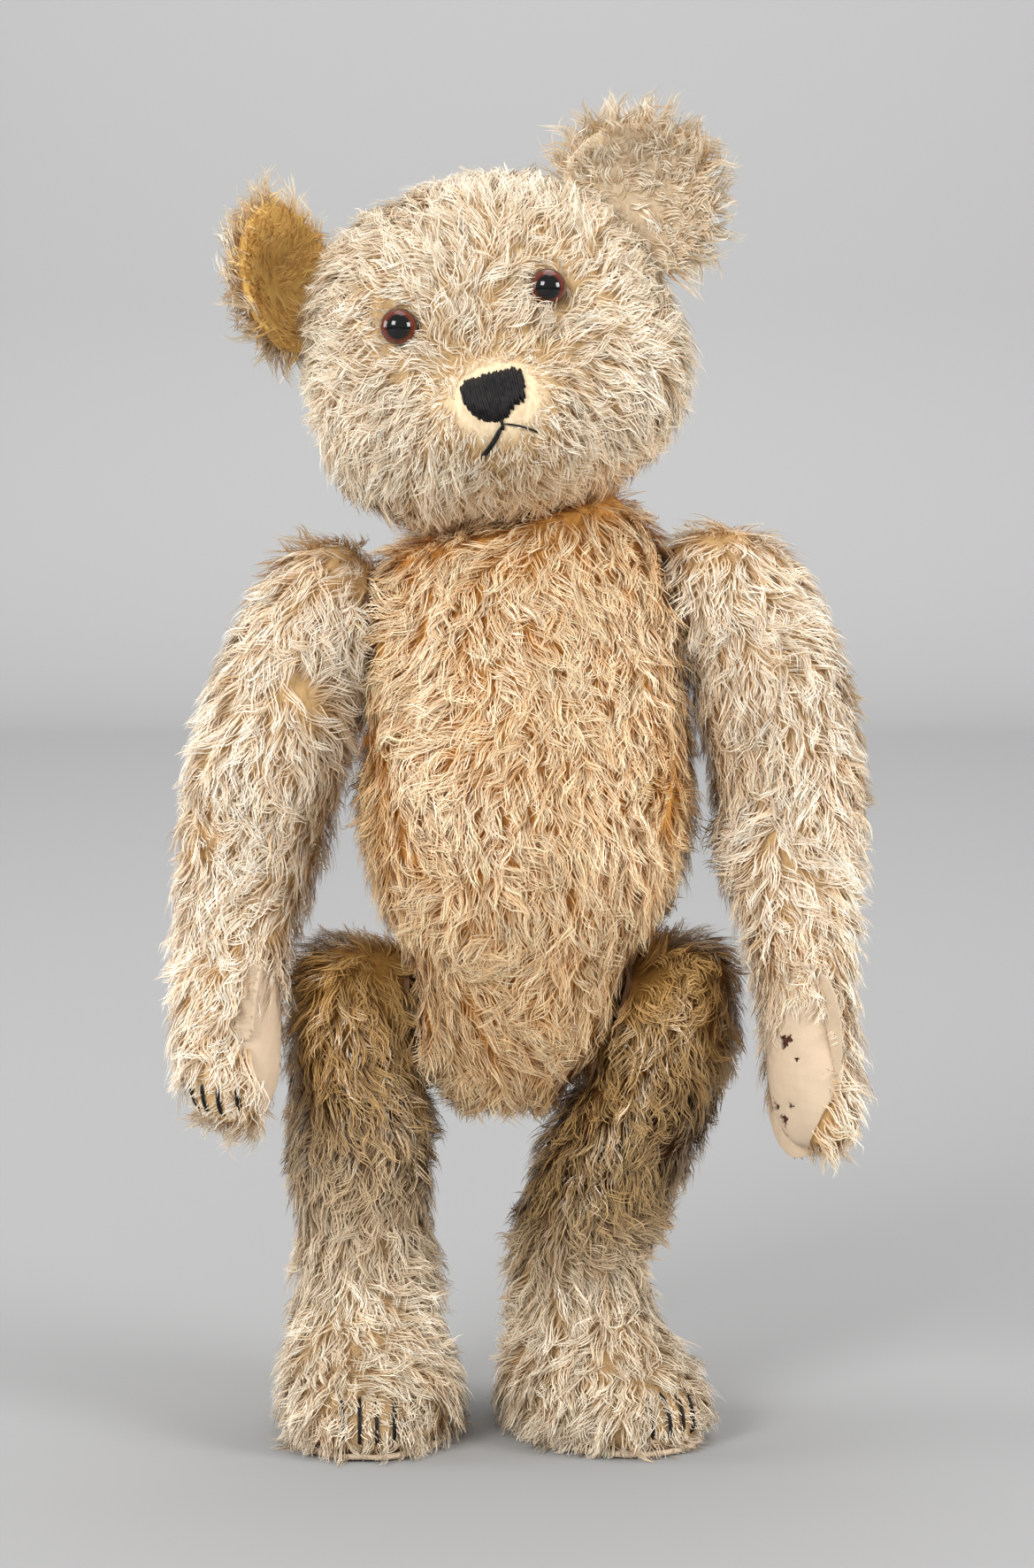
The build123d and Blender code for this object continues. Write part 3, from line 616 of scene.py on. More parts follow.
def ribbons(name, strands, normals, widths, colours, material, rng):
    """One mesh of flat tapering ribbons along the strands, each turned a little about itself, shaded partly
    as the cloth under it. Every ribbon has its own cell in the map OFBake and its colours in "pile"."""
    count = len(strands)
    tangent = unit(np.gradient(strands, axis=1))
    across = unit(np.cross(tangent, normals[:, None]))
    facing = np.cross(across, tangent)
    turn = rng.uniform(-0.4, 0.4, (count, 1, 1))
    across = np.cos(turn) * across + np.sin(turn) * facing
    facing = unit(np.cross(across, tangent))
    t = np.linspace(0, 1, STEPS + 1)
    taper = (1 - 0.5 * t**2)[None, :, None]
    half = across * widths[:, None, None] * taper / 2
    pairs = np.stack([strands - half, strands + half], 2)[:, :STEPS].reshape(count, STEPS * 2, 3)
    verts = np.concatenate([pairs, strands[:, STEPS:]], 1)
    verts[..., 2] = np.maximum(verts[..., 2], 0.0006)
    per = STEPS * 2 + 1
    quads = np.array([(2 * k, 2 * k + 1, 2 * k + 3, 2 * k + 2) for k in range(STEPS - 1)]).ravel()
    corner = np.concatenate([quads, (2 * STEPS - 2, 2 * STEPS - 1, 2 * STEPS)])
    loops = ((np.arange(count) * per)[:, None] + corner).astype(np.int32).ravel()
    totals = np.tile(np.array([4] * (STEPS - 1) + [3], np.int32), count)
    mesh = bpy.data.meshes.new(name)
    mesh.vertices.add(count * per)
    mesh.vertices.foreach_set("co", verts.astype(np.float32).ravel())
    mesh.loops.add(loops.size)
    mesh.loops.foreach_set("vertex_index", loops)
    mesh.polygons.add(len(totals))
    mesh.polygons.foreach_set("loop_start", np.concatenate([[0], np.cumsum(totals)[:-1]]).astype(np.int32))
    mesh.polygons.foreach_set("loop_total", totals)
    mesh.polygons.foreach_set("use_smooth", np.ones(len(totals), bool))
    mesh.update(calc_edges=True)

    level = np.concatenate([np.repeat(np.arange(STEPS), 2), [STEPS]])
    shading = unit(0.35 * normals[:, None] + 0.65 * facing[:, level])
    mesh.normals_split_custom_set_from_vertices(shading.reshape(-1, 3).tolist())

    cells = math.ceil(math.sqrt(count))
    column, row = np.arange(count) % cells, np.arange(count) // cells
    u = np.concatenate([np.tile([0.2, 0.8], STEPS), [0.5]])
    v = level / STEPS * 0.8 + 0.1
    uv = np.stack([(column[:, None] + u) / cells, (row[:, None] + v) / cells], -1).reshape(-1, 2)
    layer = mesh.uv_layers.new(name="OFBake")
    layer.data.foreach_set("uv", uv[loops].astype(np.float32).ravel())
    obj = new_object(name, mesh, material)
    paint(obj, colours[:, level].reshape(-1, 3))
    return obj


def grow_pile(base, body, parts, pieces, flow, look, seed, bare=None):
    """Pile over a base, a piece for each CAD panel in pieces: panel, name of the piece, slot. flow gives the
    way of the nap at each root, look the colours of tip and root and the share of the full length, and bare
    is true for strands that are worn away. The parts after the pieces' own are felt, where none grows."""
    _, pile, _, _ = settings_of()
    rng = np.random.default_rng(seed)
    root, normal = roots_on(base, pile.density * 1e4 / pile.per_lock, rng)
    away = part_distances(root, parts)
    away[len(pieces):] += FELT_MARGIN
    nearest = away.argmin(axis=0)
    chosen = np.isin(nearest, [parts.index(piece[0]) for piece in pieces])
    root, normal, nearest = root[chosen], normal[chosen], nearest[chosen]
    tip, low, share = look(root, nearest)
    length = pile.length * share * rng.uniform(0.8, 1.15, len(root))
    lines, along, side = lock_lines(root - normal * MM, normal, flow(root), length, pile.curl, rng)
    strands = strand_lines(lines, along, side, normal, pile.per_lock, pile.lock, rng)
    normal, nearest, tip, low = (np.repeat(a, pile.per_lock, 0) for a in (normal, nearest, tip, low))
    tint = np.repeat(rng.normal(1, 0.07, (len(root), 1)), pile.per_lock, 0)
    tint = tint * rng.normal(1, 0.07, (len(tip), 1))
    # Each strand's tip pales by its own share: partly the mohair's faded tips, partly painted highlight, as the
    # 60% of strands that pale fully stand for glossy streaks
    strong, faint = rng.uniform(0.85, 1.08, len(tip)), rng.uniform(0.35, 0.7, len(tip))
    faded_tips_and_highlights = np.where(rng.random(len(tip)) < 0.6, strong, faint)
    warm = np.repeat(rng.normal(0, 0.025, (len(root), 1)), pile.per_lock, 0) * (1, 0, -1)
    fade = smooth_step(0.0, 0.85, np.linspace(0, 1, STEPS + 1))[None, :, None] * faded_tips_and_highlights[:, None, None]
    colours = (low[:, None] + (tip - low)[:, None] * fade) * (tint + warm)[:, None]
    widths = pile.width * rng.uniform(0.7, 1.25, len(strands))
    clear = np.ones(len(strands), bool) if bare is None else ~bare(strands[:, 0])
    for node, name, slot_name in pieces:
        own = clear & (nearest == parts.index(node))
        material = kept_material(f"pile {slot_name}", pile_material)
        piece = ribbons(name, strands[own], normal[own], widths[own], colours[own], material, rng)
        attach(piece, body)


# ------------------------------------------------------------------ shared state of the making


STEPS = 5
SIM_FRAMES = 20
FLOOR_GAP = 0.0015
# Height where each leg's brown pile starts to pale towards the foot, and how far the pile grows onto the felt
PALE_FROM = {"left": 0.14, "right": 0.20}
FELT_MARGIN = 0.004
TREES = {}
BASES = {}


def settings_of():
    """The four groups of settings."""
    scene = bpy.context.scene
    return scene.bear_padding, scene.bear_pile, scene.bear_colours, scene.bear_stage


def col(value):
    """A colour property as an array."""
    return np.array(value[:3])


def blend_colours(first, second, share):
    """Rows that run from the first colour to the second as the share goes from 0 to 1."""
    share = np.asarray(share)[:, None]
    return first + (second - first) * share


def swirls(p, size, seed):
    """Smooth wandering directions."""
    return np.stack([ripple(p, size, seed + i) for i in range(3)], 1)


def make_base(body, name, panels, others, under, voxel=None, ear=False):
    """Pad one body, colour its cloth, ride it, and let it stand for its panels. Others fill it."""
    padding, _, _, _ = settings_of()
    material = kept_material("backing cloth", cloth_material)
    parts = [*panels, *[n for n in others if n.startswith(("paw_pad", "sole"))]]
    tuck, cap, pressure = (0.0, MM, 1.0) if ear else (padding.tuck, padding.cap, padding.pressure)
    base = padded_body(
        name, [*panels, *others], parts, voxel or padding.voxel, material, tuck, cap, pressure
    )
    paint(base, under(vertex_places(base)))
    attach(base, body)
    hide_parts(*panels, *[n for n in others if n.endswith("stuffing")])
    BASES[name] = base
    return base


class BEAR_OT_torso(bpy.types.Operator):
    """Pad the torso and grow its golden pile"""

    bl_idname = "bear.torso"
    bl_label = "Torso"

    def execute(self, context):
        colours = settings_of()[2]
        panels = [f"torso_{d}_{s}" for d in ("front", "back") for s in SIDES]
        centre = middle("torso_stuffing")
        hips = middle("hip_discs_inner")

        def flow(p):
            out = (p - centre) * (1, 1, 0) / 0.1
            return -UP + 0.3 * out + 0.95 * swirls(p, 0.085, 11)

        def look(p, nearest=None):
            patch = smooth_step(-0.1, 1.0, ripple(p, 0.12, 14))
            side = smooth_step(0.050, 0.088, np.abs(p[:, 0] - centre[0]))
            low_down = smooth_step(hips[2] + 0.02, hips[2] - 0.05, p[:, 2])
            warm = np.clip(0.35 * patch + 0.5 * side + 0.3 * low_down, 0, 0.85)
            tip = blend_colours(col(colours.torso_tip), col(colours.amber), 0.35 * warm)
            low = blend_colours(col(colours.torso_root), col(colours.amber) * 0.85, 0.7 * warm)
            return tip, low, 1.0 + 0.12 * ripple(p, 0.05, 15)

        base = make_base(
            "torso", "torso_cloth", panels, ["torso_stuffing"], lambda p: look(p)[1]
        )
        pieces = [(panel, panel.replace("torso", "torso_pile"), "mohair_gold") for panel in panels]
        grow_pile(base, "torso", panels, pieces, flow, look, 100)
        return {"FINISHED"}


def head_local(p):
    """Points in the head's own frame: across, forwards and up from the neck."""
    away = p - NECK
    return np.stack([away @ HEAD_ACROSS, away @ HEAD_FORWARD, away @ HEAD_UP], 1)


def nose_reach(p):
    """How far points are from the nose, as a share of its oval, and large behind the face."""
    local = head_local(p) - head_local(middle("nose_embroidery")[None])
    return np.sqrt((local[:, 0] / 0.0175) ** 2 + (local[:, 2] / 0.0145) ** 2 + (local[:, 1] / 0.03) ** 2)


class BEAR_OT_head(bpy.types.Operator):
    """Pad the head and grow its pale pile, short round the nose and clear of the eyes"""

    bl_idname = "bear.head"
    bl_label = "Head"

    def execute(self, context):
        colours = settings_of()[2]
        panels = ["head_gusset", "head_side_left", "head_side_right"]
        nose = middle("nose_embroidery")
        eyes = [middle(f"eye_{s}") for s in SIDES]
        mouth = middle("mouth_stitches")

        def eye_reach(p):
            return np.min([np.linalg.norm(p - e, axis=1) for e in eyes], axis=0)

        def flow(p):
            front = smooth_step(0.03, -0.05, p[:, 1])[:, None]
            return front * unit(p - nose) * 1.1 - UP * (0.8 - 0.35 * front) + 0.6 * swirls(p, 0.07, 21)

        def look(p, nearest=None):
            height = head_local(p)[:, 2]
            neck = smooth_step(0.045, 0.0, height)
            low = blend_colours(col(colours.head_root), col(colours.amber), 0.6 * neck)
            tip = blend_colours(col(colours.head_tip), col(colours.amber), 0.35 * neck)
            worn = 0.75 - 0.25 * smooth_step(0.9, 2.0, ripple(p, 0.05, 25) + 1.2)
            share = 0.30 + 0.62 * smooth_step(1.0, 2.6, nose_reach(p)) * (0.85 + 0.2 * worn)
            share = share * (0.5 + 0.5 * smooth_step(0.011, 0.028, eye_reach(p)))
            share = share * (0.6 + 0.4 * smooth_step(0.010, 0.030, np.linalg.norm(p - mouth, axis=1)))
            return tip, low, share * (1 + 0.1 * ripple(p, 0.05, 24))

        def under(p):
            bald = smooth_step(1.9, 1.1, nose_reach(p))
            return blend_colours(col(colours.head_root), col(colours.backing), bald)

        base = make_base("head", "head_cloth", panels, ["head_stuffing"], under)
        pieces = [(panel, panel.replace("head", "head_pile"), "mohair_cream") for panel in panels]
        grow_pile(
            base, "head", panels, pieces, flow, look, 200,
            lambda p: (nose_reach(p) < 1.12) | (eye_reach(p) < 0.0112),
        )
        return {"FINISHED"}


class BEAR_OT_ears(bpy.types.Operator):
    """Pad the two cupped ears and grow a fringe round them, leaving the worn places bare"""

    bl_idname = "bear.ears"
    bl_label = "Ears"

    def execute(self, context):
        padding, _, colours, _ = settings_of()
        for side in SIDES:
            layers = [f"ear_front_{side}", f"ear_back_{side}"]
            centre = middle(layers[0])
            out_from_head = unit(centre - (NECK + HEAD_UP * 0.09))
            amber = side == "right"
            worn = centre - HEAD_ACROSS * 0.016 + HEAD_UP * 0.028

            def flow(p, centre=centre, out_from_head=out_from_head):
                return out_from_head * 0.4 + unit(p - centre) * 1.2 + 0.45 * swirls(p, 0.05, 31)

            def worn_away(p, worn=worn, amber=amber):
                local = (p - worn) @ np.stack([HEAD_ACROSS, HEAD_UP], 1)
                bend = local[:, 1] + 18 * local[:, 0] ** 2
                crescent = (np.abs(bend) < 0.0075) & (np.abs(local[:, 0]) < 0.020)
                return crescent & (p[:, 1] < centre[1]) & (not amber)

            def look(p, nearest=None, amber=amber, centre=centre):
                front = (nearest == 0) if nearest is not None else np.ones(len(p), bool)
                inside = front & amber
                tip = blend_colours(col(colours.head_tip), col(colours.ear_gold), inside * 0.95)
                low = blend_colours(col(colours.head_root), col(colours.ear_gold) * 0.7, inside * 0.95)
                rim = smooth_step(0.022, 0.034, np.linalg.norm(p - centre, axis=1))
                share = np.where(inside, 0.40, np.where(front, 0.55, 0.80))
                return tip, low, share + 0.28 * rim * ~inside

            def under(p, amber=amber, worn_away=worn_away):
                base_colour = col(colours.ear_gold) * 0.8 if amber else col(colours.head_root) * 0.6
                if not amber:
                    base_colour = base_colour + col(colours.head_tip) * 0.4
                return blend_colours(base_colour, col(colours.backing), worn_away(p) * 1.0)

            base = make_base(
                "head", f"ear_cloth_{side}", layers, [], under, padding.ear_voxel, True
            )
            slots = ["mohair_amber" if amber else "mohair_cream", "mohair_cream"]
            pieces = [(n, n.replace("ear_", "ear_pile_"), s) for n, s in zip(layers, slots)]
            grow_pile(base, "head", layers, pieces, flow, look, 300 + SIDES.index(side), worn_away)
        return {"FINISHED"}


class BEAR_OT_arms(bpy.types.Operator):
    """Pad the arms and grow their pile, clear of the felt pads"""

    bl_idname = "bear.arms"
    bl_label = "Arms"

    def execute(self, context):
        colours = settings_of()[2]
        for k, side in enumerate(SIDES):
            panels = [f"arm_{side}_outer_panel", f"arm_{side}_inner_panel"]
            pad = f"paw_pad_{side}"
            claws = middle(f"arm_{side}_claws")
            outwards = np.array((1.0 if side == "left" else -1.0, 0, 0))

            def flow(p, k=k, outwards=outwards):
                return -UP + 0.3 * outwards + 0.9 * swirls(p, 0.08, 41 + 4 * k)

            def look(p, nearest=None, k=k, claws=claws):
                patch = smooth_step(0.0, 1.0, ripple(p, 0.13, 47 + k))
                tip = blend_colours(col(colours.arm_tip), col(colours.torso_tip), 0.35 * patch)
                low = blend_colours(col(colours.arm_root), col(colours.torso_root), 0.3 * patch)
                clear = smooth_step(0.008, 0.028, np.linalg.norm(p - claws, axis=1))
                return tip, low, (1.0 + 0.12 * ripple(p, 0.05, 49 + k)) * (0.35 + 0.65 * clear)

            base = make_base(
                f"arm_{side}", f"arm_cloth_{side}", panels, [pad, f"arm_{side}_stuffing"],
                lambda p, look=look: look(p)[1],
            )
            pieces = [(n, n.replace("panel", "pile"), "mohair_cream") for n in panels]
            grow_pile(base, f"arm_{side}", [*panels, pad], pieces, flow, look, 400 + k)
        return {"FINISHED"}


class BEAR_OT_legs(bpy.types.Operator):
    """Pad the legs and grow their tan pile, darker partly as painted shade, clear of the felt soles"""

    bl_idname = "bear.legs"
    bl_label = "Legs"

    def execute(self, context):
        colours = settings_of()[2]
        for k, side in enumerate(SIDES):
            panels = [f"leg_{side}_outer_panel", f"leg_{side}_inner_panel"]
            sole = f"sole_{side}"
            hip = np.array(JOINTS[f"hip_{side}"]["pos_m"])
            foot = middle(sole)
            claws = middle(f"leg_{side}_claws")

            def flow(p, k=k, foot=foot):
                low = smooth_step(0.09, 0.04, p[:, 2])[:, None]
                out = unit((p - foot) * (1, 1, 0))
                return -UP * (1 - 0.35 * low) + 0.7 * low * out + 0.9 * swirls(p, 0.08, 51 + 4 * k)

            def look(p, nearest=None, k=k, side=side, hip=hip, claws=claws, foot=foot):
                amber = smooth_step(hip[2] - 0.06, hip[2] + 0.02, p[:, 2]) * 0.6
                # inside: how far a point lies on the inner side of the leg, towards the other leg; it darkens the
                # pile there by up to 0.3 as painted shade between the legs
                inside = smooth_step(0.0, 0.03, (foot[0] - p[:, 0]) * np.sign(foot[0])) * 0.3
                pale = smooth_step(PALE_FROM[side], 0.06, p[:, 2])
                tip = blend_colours(col(colours.leg_tip), col(colours.head_tip), 0.9 * pale)
                # Near the hip the tips are pulled towards three-quarter amber and the roots towards half-bright
                # amber: amber pile, partly painted shade at the crotch
                tip = tip + (col(colours.amber) * 0.75 - tip) * (0.5 * amber[:, None])
                low = blend_colours(col(colours.leg_root), col(colours.head_root), 0.9 * pale)
                low = low + (col(colours.amber) * 0.5 - low) * amber[:, None]
                clear = smooth_step(0.010, 0.030, np.linalg.norm(p - claws, axis=1))
                share = (0.95 + 0.12 * ripple(p, 0.05, 59 + k)) * (0.45 + 0.55 * clear)
                # Painted shade: the pile on the inner side of the thigh is darkened, except on the pale feet
                inner_leg_shade = (1 - inside * (1 - pale))[:, None]
                return tip * inner_leg_shade, low * inner_leg_shade, share

            base = make_base(
                f"leg_{side}", f"leg_cloth_{side}", panels,
                [sole, f"leg_{side}_stuffing", f"insole_board_{side}"],
                lambda p, look=look: look(p)[1],
            )
            pieces = [(n, n.replace("panel", "pile"), "mohair_tan") for n in panels]
            grow_pile(base, f"leg_{side}", [*panels, sole], pieces, flow, look, 500 + k)
        return {"FINISHED"}


# ------------------------------------------------------------------ felt


def flat_axes(node):
    """Middle, long axis, cross axis and thin axis of a flat CAD node, from the spread of its vertices."""
    co, _ = mesh_arrays(NODES[node].data)
    _, vectors = np.linalg.eigh(np.cov((co - co.mean(0)).T))
    return co, (co.max(0) + co.min(0)) / 2, vectors[:, 2], vectors[:, 1], vectors[:, 0]


def cast_on(tree, points, direction, reach=0.08):
    """Each point moved to where a ray from outside, against a direction, meets the surface."""
    hits = points.copy()
    for i, point in enumerate(points):
        place = tree.ray_cast(Vector(point + direction * reach), Vector(-direction), 2 * reach)[0]
        if place is not None:
            hits[i] = place
    return hits


def felt_sheet(name, places, faces, thick, body, node):
    """A felt piece of the given thickness on the outside of a grid of places."""
    colours = settings_of()[2]
    material = kept_material("cream felt", felt_material, colours.felt)
    mesh = bpy.data.meshes.new(name)
    mesh.from_pydata(places.tolist(), [], faces)
    mesh.validate()
    piece = new_object(name, mesh, material)
    solidify = piece.modifiers.new("felt", "SOLIDIFY")
    solidify.thickness = thick
    solidify.offset = 1
    bevel = piece.modifiers.new("edge", "BEVEL")
    bevel.width = thick * 0.3
    bevel.segments = 2
    bevel.limit_method = "ANGLE"
    apply_modifiers(piece)
    piece.data.polygons.foreach_set("use_smooth", np.ones(len(piece.data.polygons), bool))
    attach(piece, body)
    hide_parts(node)
    return piece


def tubes(name, paths, radius, material, sides=6):
    """One mesh of round threads along paths, thin at both ends. Each ring stands square to its path."""
    count, steps, _ = paths.shape
    tangent = unit(np.gradient(paths, axis=1))
    steep = np.abs(tangent.mean(1)[:, 2]) > 0.8
    other = np.where(steep[:, None], (1.0, 0.0, 0.0), (0.0, 0.0, 1.0))[:, None]
    a = unit(np.cross(tangent, other))
    b = np.cross(tangent, a)
    angle = np.linspace(0, 2 * math.pi, sides, endpoint=False)
    ring = a[:, :, None] * np.cos(angle)[:, None] + b[:, :, None] * np.sin(angle)[:, None]
    t = np.linspace(-1, 1, steps)
    size = np.asarray(radius).reshape(-1, 1) * np.clip((1 - t**8), 0.12, 1)
    verts = (paths[:, :, None] + ring * size[..., None, None]).reshape(-1, 3)
    faces = grid_faces(steps, sides, wrap=True)
    faces = (faces[None] + (np.arange(count) * steps * sides)[:, None, None]).reshape(-1, 4)
    return mesh_from(name, verts, faces, material)


def whip_stitches(name, rim, centre, outward, body, reach=0.0018, every=4):
    """Short threads over the edge of a felt piece, from the felt into the cloth."""
    colours = settings_of()[2]
    thread, worn = shade(colours.felt, 0.62), shade(colours.felt, 0.85)
    material = kept_material("whip thread", thread_material, thread, worn)
    rim = rim[::every]
    out = unit(rim - centre)
    lean = unit(np.cross(out, outward)) * 0.0009
    t = np.array([-1, -0.55, 0, 0.55, 1])[None, :, None]
    lift = (1 - t**2) * 0.0009 + 0.0001
    paths = rim[:, None] + out[:, None] * reach * t + lean[:, None] * t + outward * lift
    stitches = tubes(name, paths, np.full(len(paths), 0.00045), material, 5)
    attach(stitches, body)


class BEAR_OT_paw_pads(bpy.types.Operator):
    """Lay almond felt pads on the paws, moth-eaten on the left one, with the filling behind the holes"""

    bl_idname = "bear.paw_pads"
    bl_label = "Paw pads"

    def execute(self, context):
        colours = settings_of()[2]
        holes = {
            "left": [(0.0, 0.28, 0.0034), (-0.12, -0.50, 0.0036), (0.15, -0.62, 0.0034), (0.05, -0.80, 0.0030),
                     (-0.35, -0.55, 0.0016), (0.30, 0.10, 0.0011), (-0.40, 0.55, 0.0012), (0.35, -0.42, 0.0014)],
            "right": [],
        }
        for side in SIDES:
            node = f"paw_pad_{side}"
            base = BASES[f"arm_cloth_{side}"]
            co, centre, long_axis, cross_axis, facing = flat_axes(node)
            facing = facing * np.sign((centre - vertex_places(base).mean(0)) @ facing)
            long_axis = long_axis * np.sign(long_axis[2])
            cross_axis = np.cross(long_axis, facing)
            local = np.stack([(co - centre) @ cross_axis, (co - centre) @ long_axis], 1)
            shift, half = (local.max(0) + local.min(0)) / 2, (local.max(0) - local.min(0)) / 2
            rings, spokes = 40, 144
            t = np.linspace(0, 2 * math.pi, spokes, endpoint=False)
            r = np.linspace(0.01, 1, rings)[:, None]
            point = 1 - 0.10 * np.cos(2 * t) * (np.abs(np.sin(t)) > 0)
            u, v = (r * np.cos(t) * point).ravel(), (r * np.sin(t) * point).ravel()
            flat = centre + (shift[0] + half[0] * u)[:, None] * cross_axis
            flat = flat + (shift[1] + half[1] * v)[:, None] * long_axis
            places = cast_on(tree_of(base), flat, facing)
            lift = 0.0012 * (1 - np.repeat(r[:, 0], spokes) ** 8) + 0.0002 * ripple(flat, 0.006, 61)
            places = places + facing * lift[:, None]
            faces = grid_faces(rings, spokes, wrap=True)
            mid_u, mid_v = u[faces].mean(1), v[faces].mean(1)
            keep = np.ones(len(faces), bool)
            for hu, hv, radius in holes[side]:
                away = np.stack([(mid_u - hu) * half[0], (mid_v - hv) * half[1]], 1)
                bearing = np.arctan2(away[:, 1], away[:, 0])
                ragged = 1 + 0.25 * np.sin(3 * bearing + 40 * hu) + 0.15 * np.sin(7 * bearing + hv)
                keep &= np.linalg.norm(away, axis=1) > radius * ragged
            listed = [tuple(range(spokes)), *map(tuple, faces[keep][:, ::-1].tolist())]
            felt_sheet(f"paw_felt_{side}", places, listed, 0.0018, f"arm_{side}", node)
            rim = places[(rings - 1) * spokes :]
            whip_stitches(
                f"paw_stitches_{side}", rim, places[:spokes].mean(0), facing, f"arm_{side}"
            )
            if holes[side]:
                inner = places[: (rings - 3) * spokes] - facing * 0.0004
                material = kept_material("bared filling", plain_material, colours.hole, 0.95, 0.0, 0.6, 700)
                backing = mesh_from(
                    f"paw_filling_{side}", inner, grid_faces(rings - 3, spokes, wrap=True)[:, ::-1], material
                )
                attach(backing, f"arm_{side}")
        return {"FINISHED"}


class BEAR_OT_soles(bpy.types.Operator):
    """Cut the felt soles to the feet and whip them to the cloth"""

    bl_idname = "bear.soles"
    bl_label = "Soles"

    def execute(self, context):
        colours = settings_of()[2]
        for side in SIDES:
            node = f"sole_{side}"
            co, _ = mesh_arrays(NODES[node].data)
            centre = middle(node)
            away = co[:, :2] - centre[:2]
            bearing = np.arctan2(away[:, 1], away[:, 0])
            spokes = 120
            t = np.linspace(-math.pi, math.pi, spokes, endpoint=False)
            step = 2 * math.pi / spokes
            gap = np.abs((bearing[None] - t[:, None] + math.pi) % (2 * math.pi) - math.pi)
            reach = np.where(gap < 1.5 * step, np.linalg.norm(away, axis=1)[None], 0).max(axis=1)
            rows = [
                (0.05, 0.0009), (0.5, 0.0009), (0.94, 0.0008), (0.985, 0.0012),
                (1.0, 0.0024), (0.99, 0.0038), (0.95, 0.0044), (0.80, 0.0040),
            ]
            around = np.stack([np.cos(t), np.sin(t)], 1) * reach[:, None]
            verts = [np.c_[centre[:2] + around * share, np.full(spokes, height)] for share, height in rows]
            material = kept_material("cream felt", felt_material, colours.felt)
            verts = np.vstack(verts)
            verts[:, 2] += 0.0003 * ripple(verts, 0.02, 71)
            faces = grid_faces(len(rows), spokes, wrap=True)
            lids = [tuple(range(spokes))[::-1], tuple(range(len(verts) - spokes, len(verts)))]
            mesh = bpy.data.meshes.new(f"sole_felt_{side}")
            mesh.from_pydata(verts.tolist(), [], [*lids, *map(tuple, faces.tolist())])
            mesh.polygons.foreach_set("use_smooth", np.ones(len(mesh.polygons), bool))
            felt = new_object(mesh.name, mesh, material)
            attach(felt, f"leg_{side}")
            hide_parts(node)
            rim = verts[4 * spokes : 5 * spokes]
            whip_stitches(
                f"sole_stitches_{side}", rim, rim.mean(0), UP, f"leg_{side}", 0.0022, 3
            )
        return {"FINISHED"}


# ------------------------------------------------------------------ thread and glass


def black_thread():
    """The dark thread of the nose, mouth and claws."""
    colours = settings_of()[2]
    return kept_material("black thread", thread_material, colours.thread, colours.thread_worn)


def on_face(tree, across, up):
    """Points of the face straight behind (across, up) of the head's frame."""
    start = NECK + np.outer(across, HEAD_ACROSS) + np.outer(up, HEAD_UP) + HEAD_FORWARD * 0.16
    hits = []
    for point in start:
        place = tree.ray_cast(Vector(point), Vector(-HEAD_FORWARD), 0.2)[0]
        hits.append(place if place is not None else hits[-1])
    return np.array(hits)


class BEAR_OT_face(bpy.types.Operator):
    """Stitch the shield of the nose in upright satin threads, and the mouth below it"""

    bl_idname = "bear.face"
    bl_label = "Nose and mouth"

    def execute(self, context):
        rng = np.random.default_rng(81)
        tree = tree_of(BASES["head_cloth"])
        centre = head_local(middle("nose_embroidery")[None])[0]
        half_width, half_height = 0.0152, 0.0130
        count, steps = 27, 9
        share = np.linspace(-1, 1, count)
        top = half_height * (1 - 0.25 * np.abs(share) ** 5) + rng.uniform(-0.0006, 0.0012, count)
        low = -half_height * (1 - np.abs(share) ** 2.3) ** 0.6 + rng.uniform(-0.0006, 0.0006, count)
        worn = (share > 0.25) & (share < 0.8)
        low = low + worn * rng.uniform(0.001, 0.0045, count)
        t = np.linspace(0, 1, steps)
        layers = []
        for depth in (0.0016, 0.0026):
            across = centre[0] + np.repeat(share * half_width, steps) + rng.normal(0, 0.0001, count * steps)
            up = centre[2] + (top[:, None] + (low - top)[:, None] * t).ravel()
            path = on_face(tree, across, up).reshape(count, steps, 3)
            proud = depth * (1 - (2 * t - 1) ** 6) - 0.0008
            layers.append(path + HEAD_FORWARD * proud[:, None])
            share = share + 0.5 * (share[1] - share[0]) * 0.9
        nose = tubes("nose_threads", np.vstack(layers), np.full(2 * count, 0.00085), black_thread())
        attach(nose, "head")
        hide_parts("nose_embroidery")

        foot = centre[2] - half_height
        lines = [
            ((0.0005, 0.003), (0.0, -0.004), 0.0009),
            ((0.0, -0.001), (-0.0155, -0.0150), 0.0010),
            ((0.0, -0.002), (-0.0148, -0.0156), 0.0009),
            ((0.0005, -0.0005), (0.0180, -0.0105), 0.00055),
        ]
        paths, sizes = [], []
        for first, last, size in lines:
            x = centre[0] + first[0] + (last[0] - first[0]) * t
            z = foot + first[1] + (last[1] - first[1]) * t + 0.0012 * np.sin(math.pi * t) * np.sign(last[0])
            lift = 0.0012 * (1 - (2 * t - 1) ** 6) - 0.0004
            paths.append(on_face(tree, x, z) + HEAD_FORWARD * lift[:, None])
            sizes.append(size)
        mouth = tubes("mouth_threads", np.array(paths), sizes, black_thread())
        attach(mouth, "head")
        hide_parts("mouth_stitches")
        return {"FINISHED"}


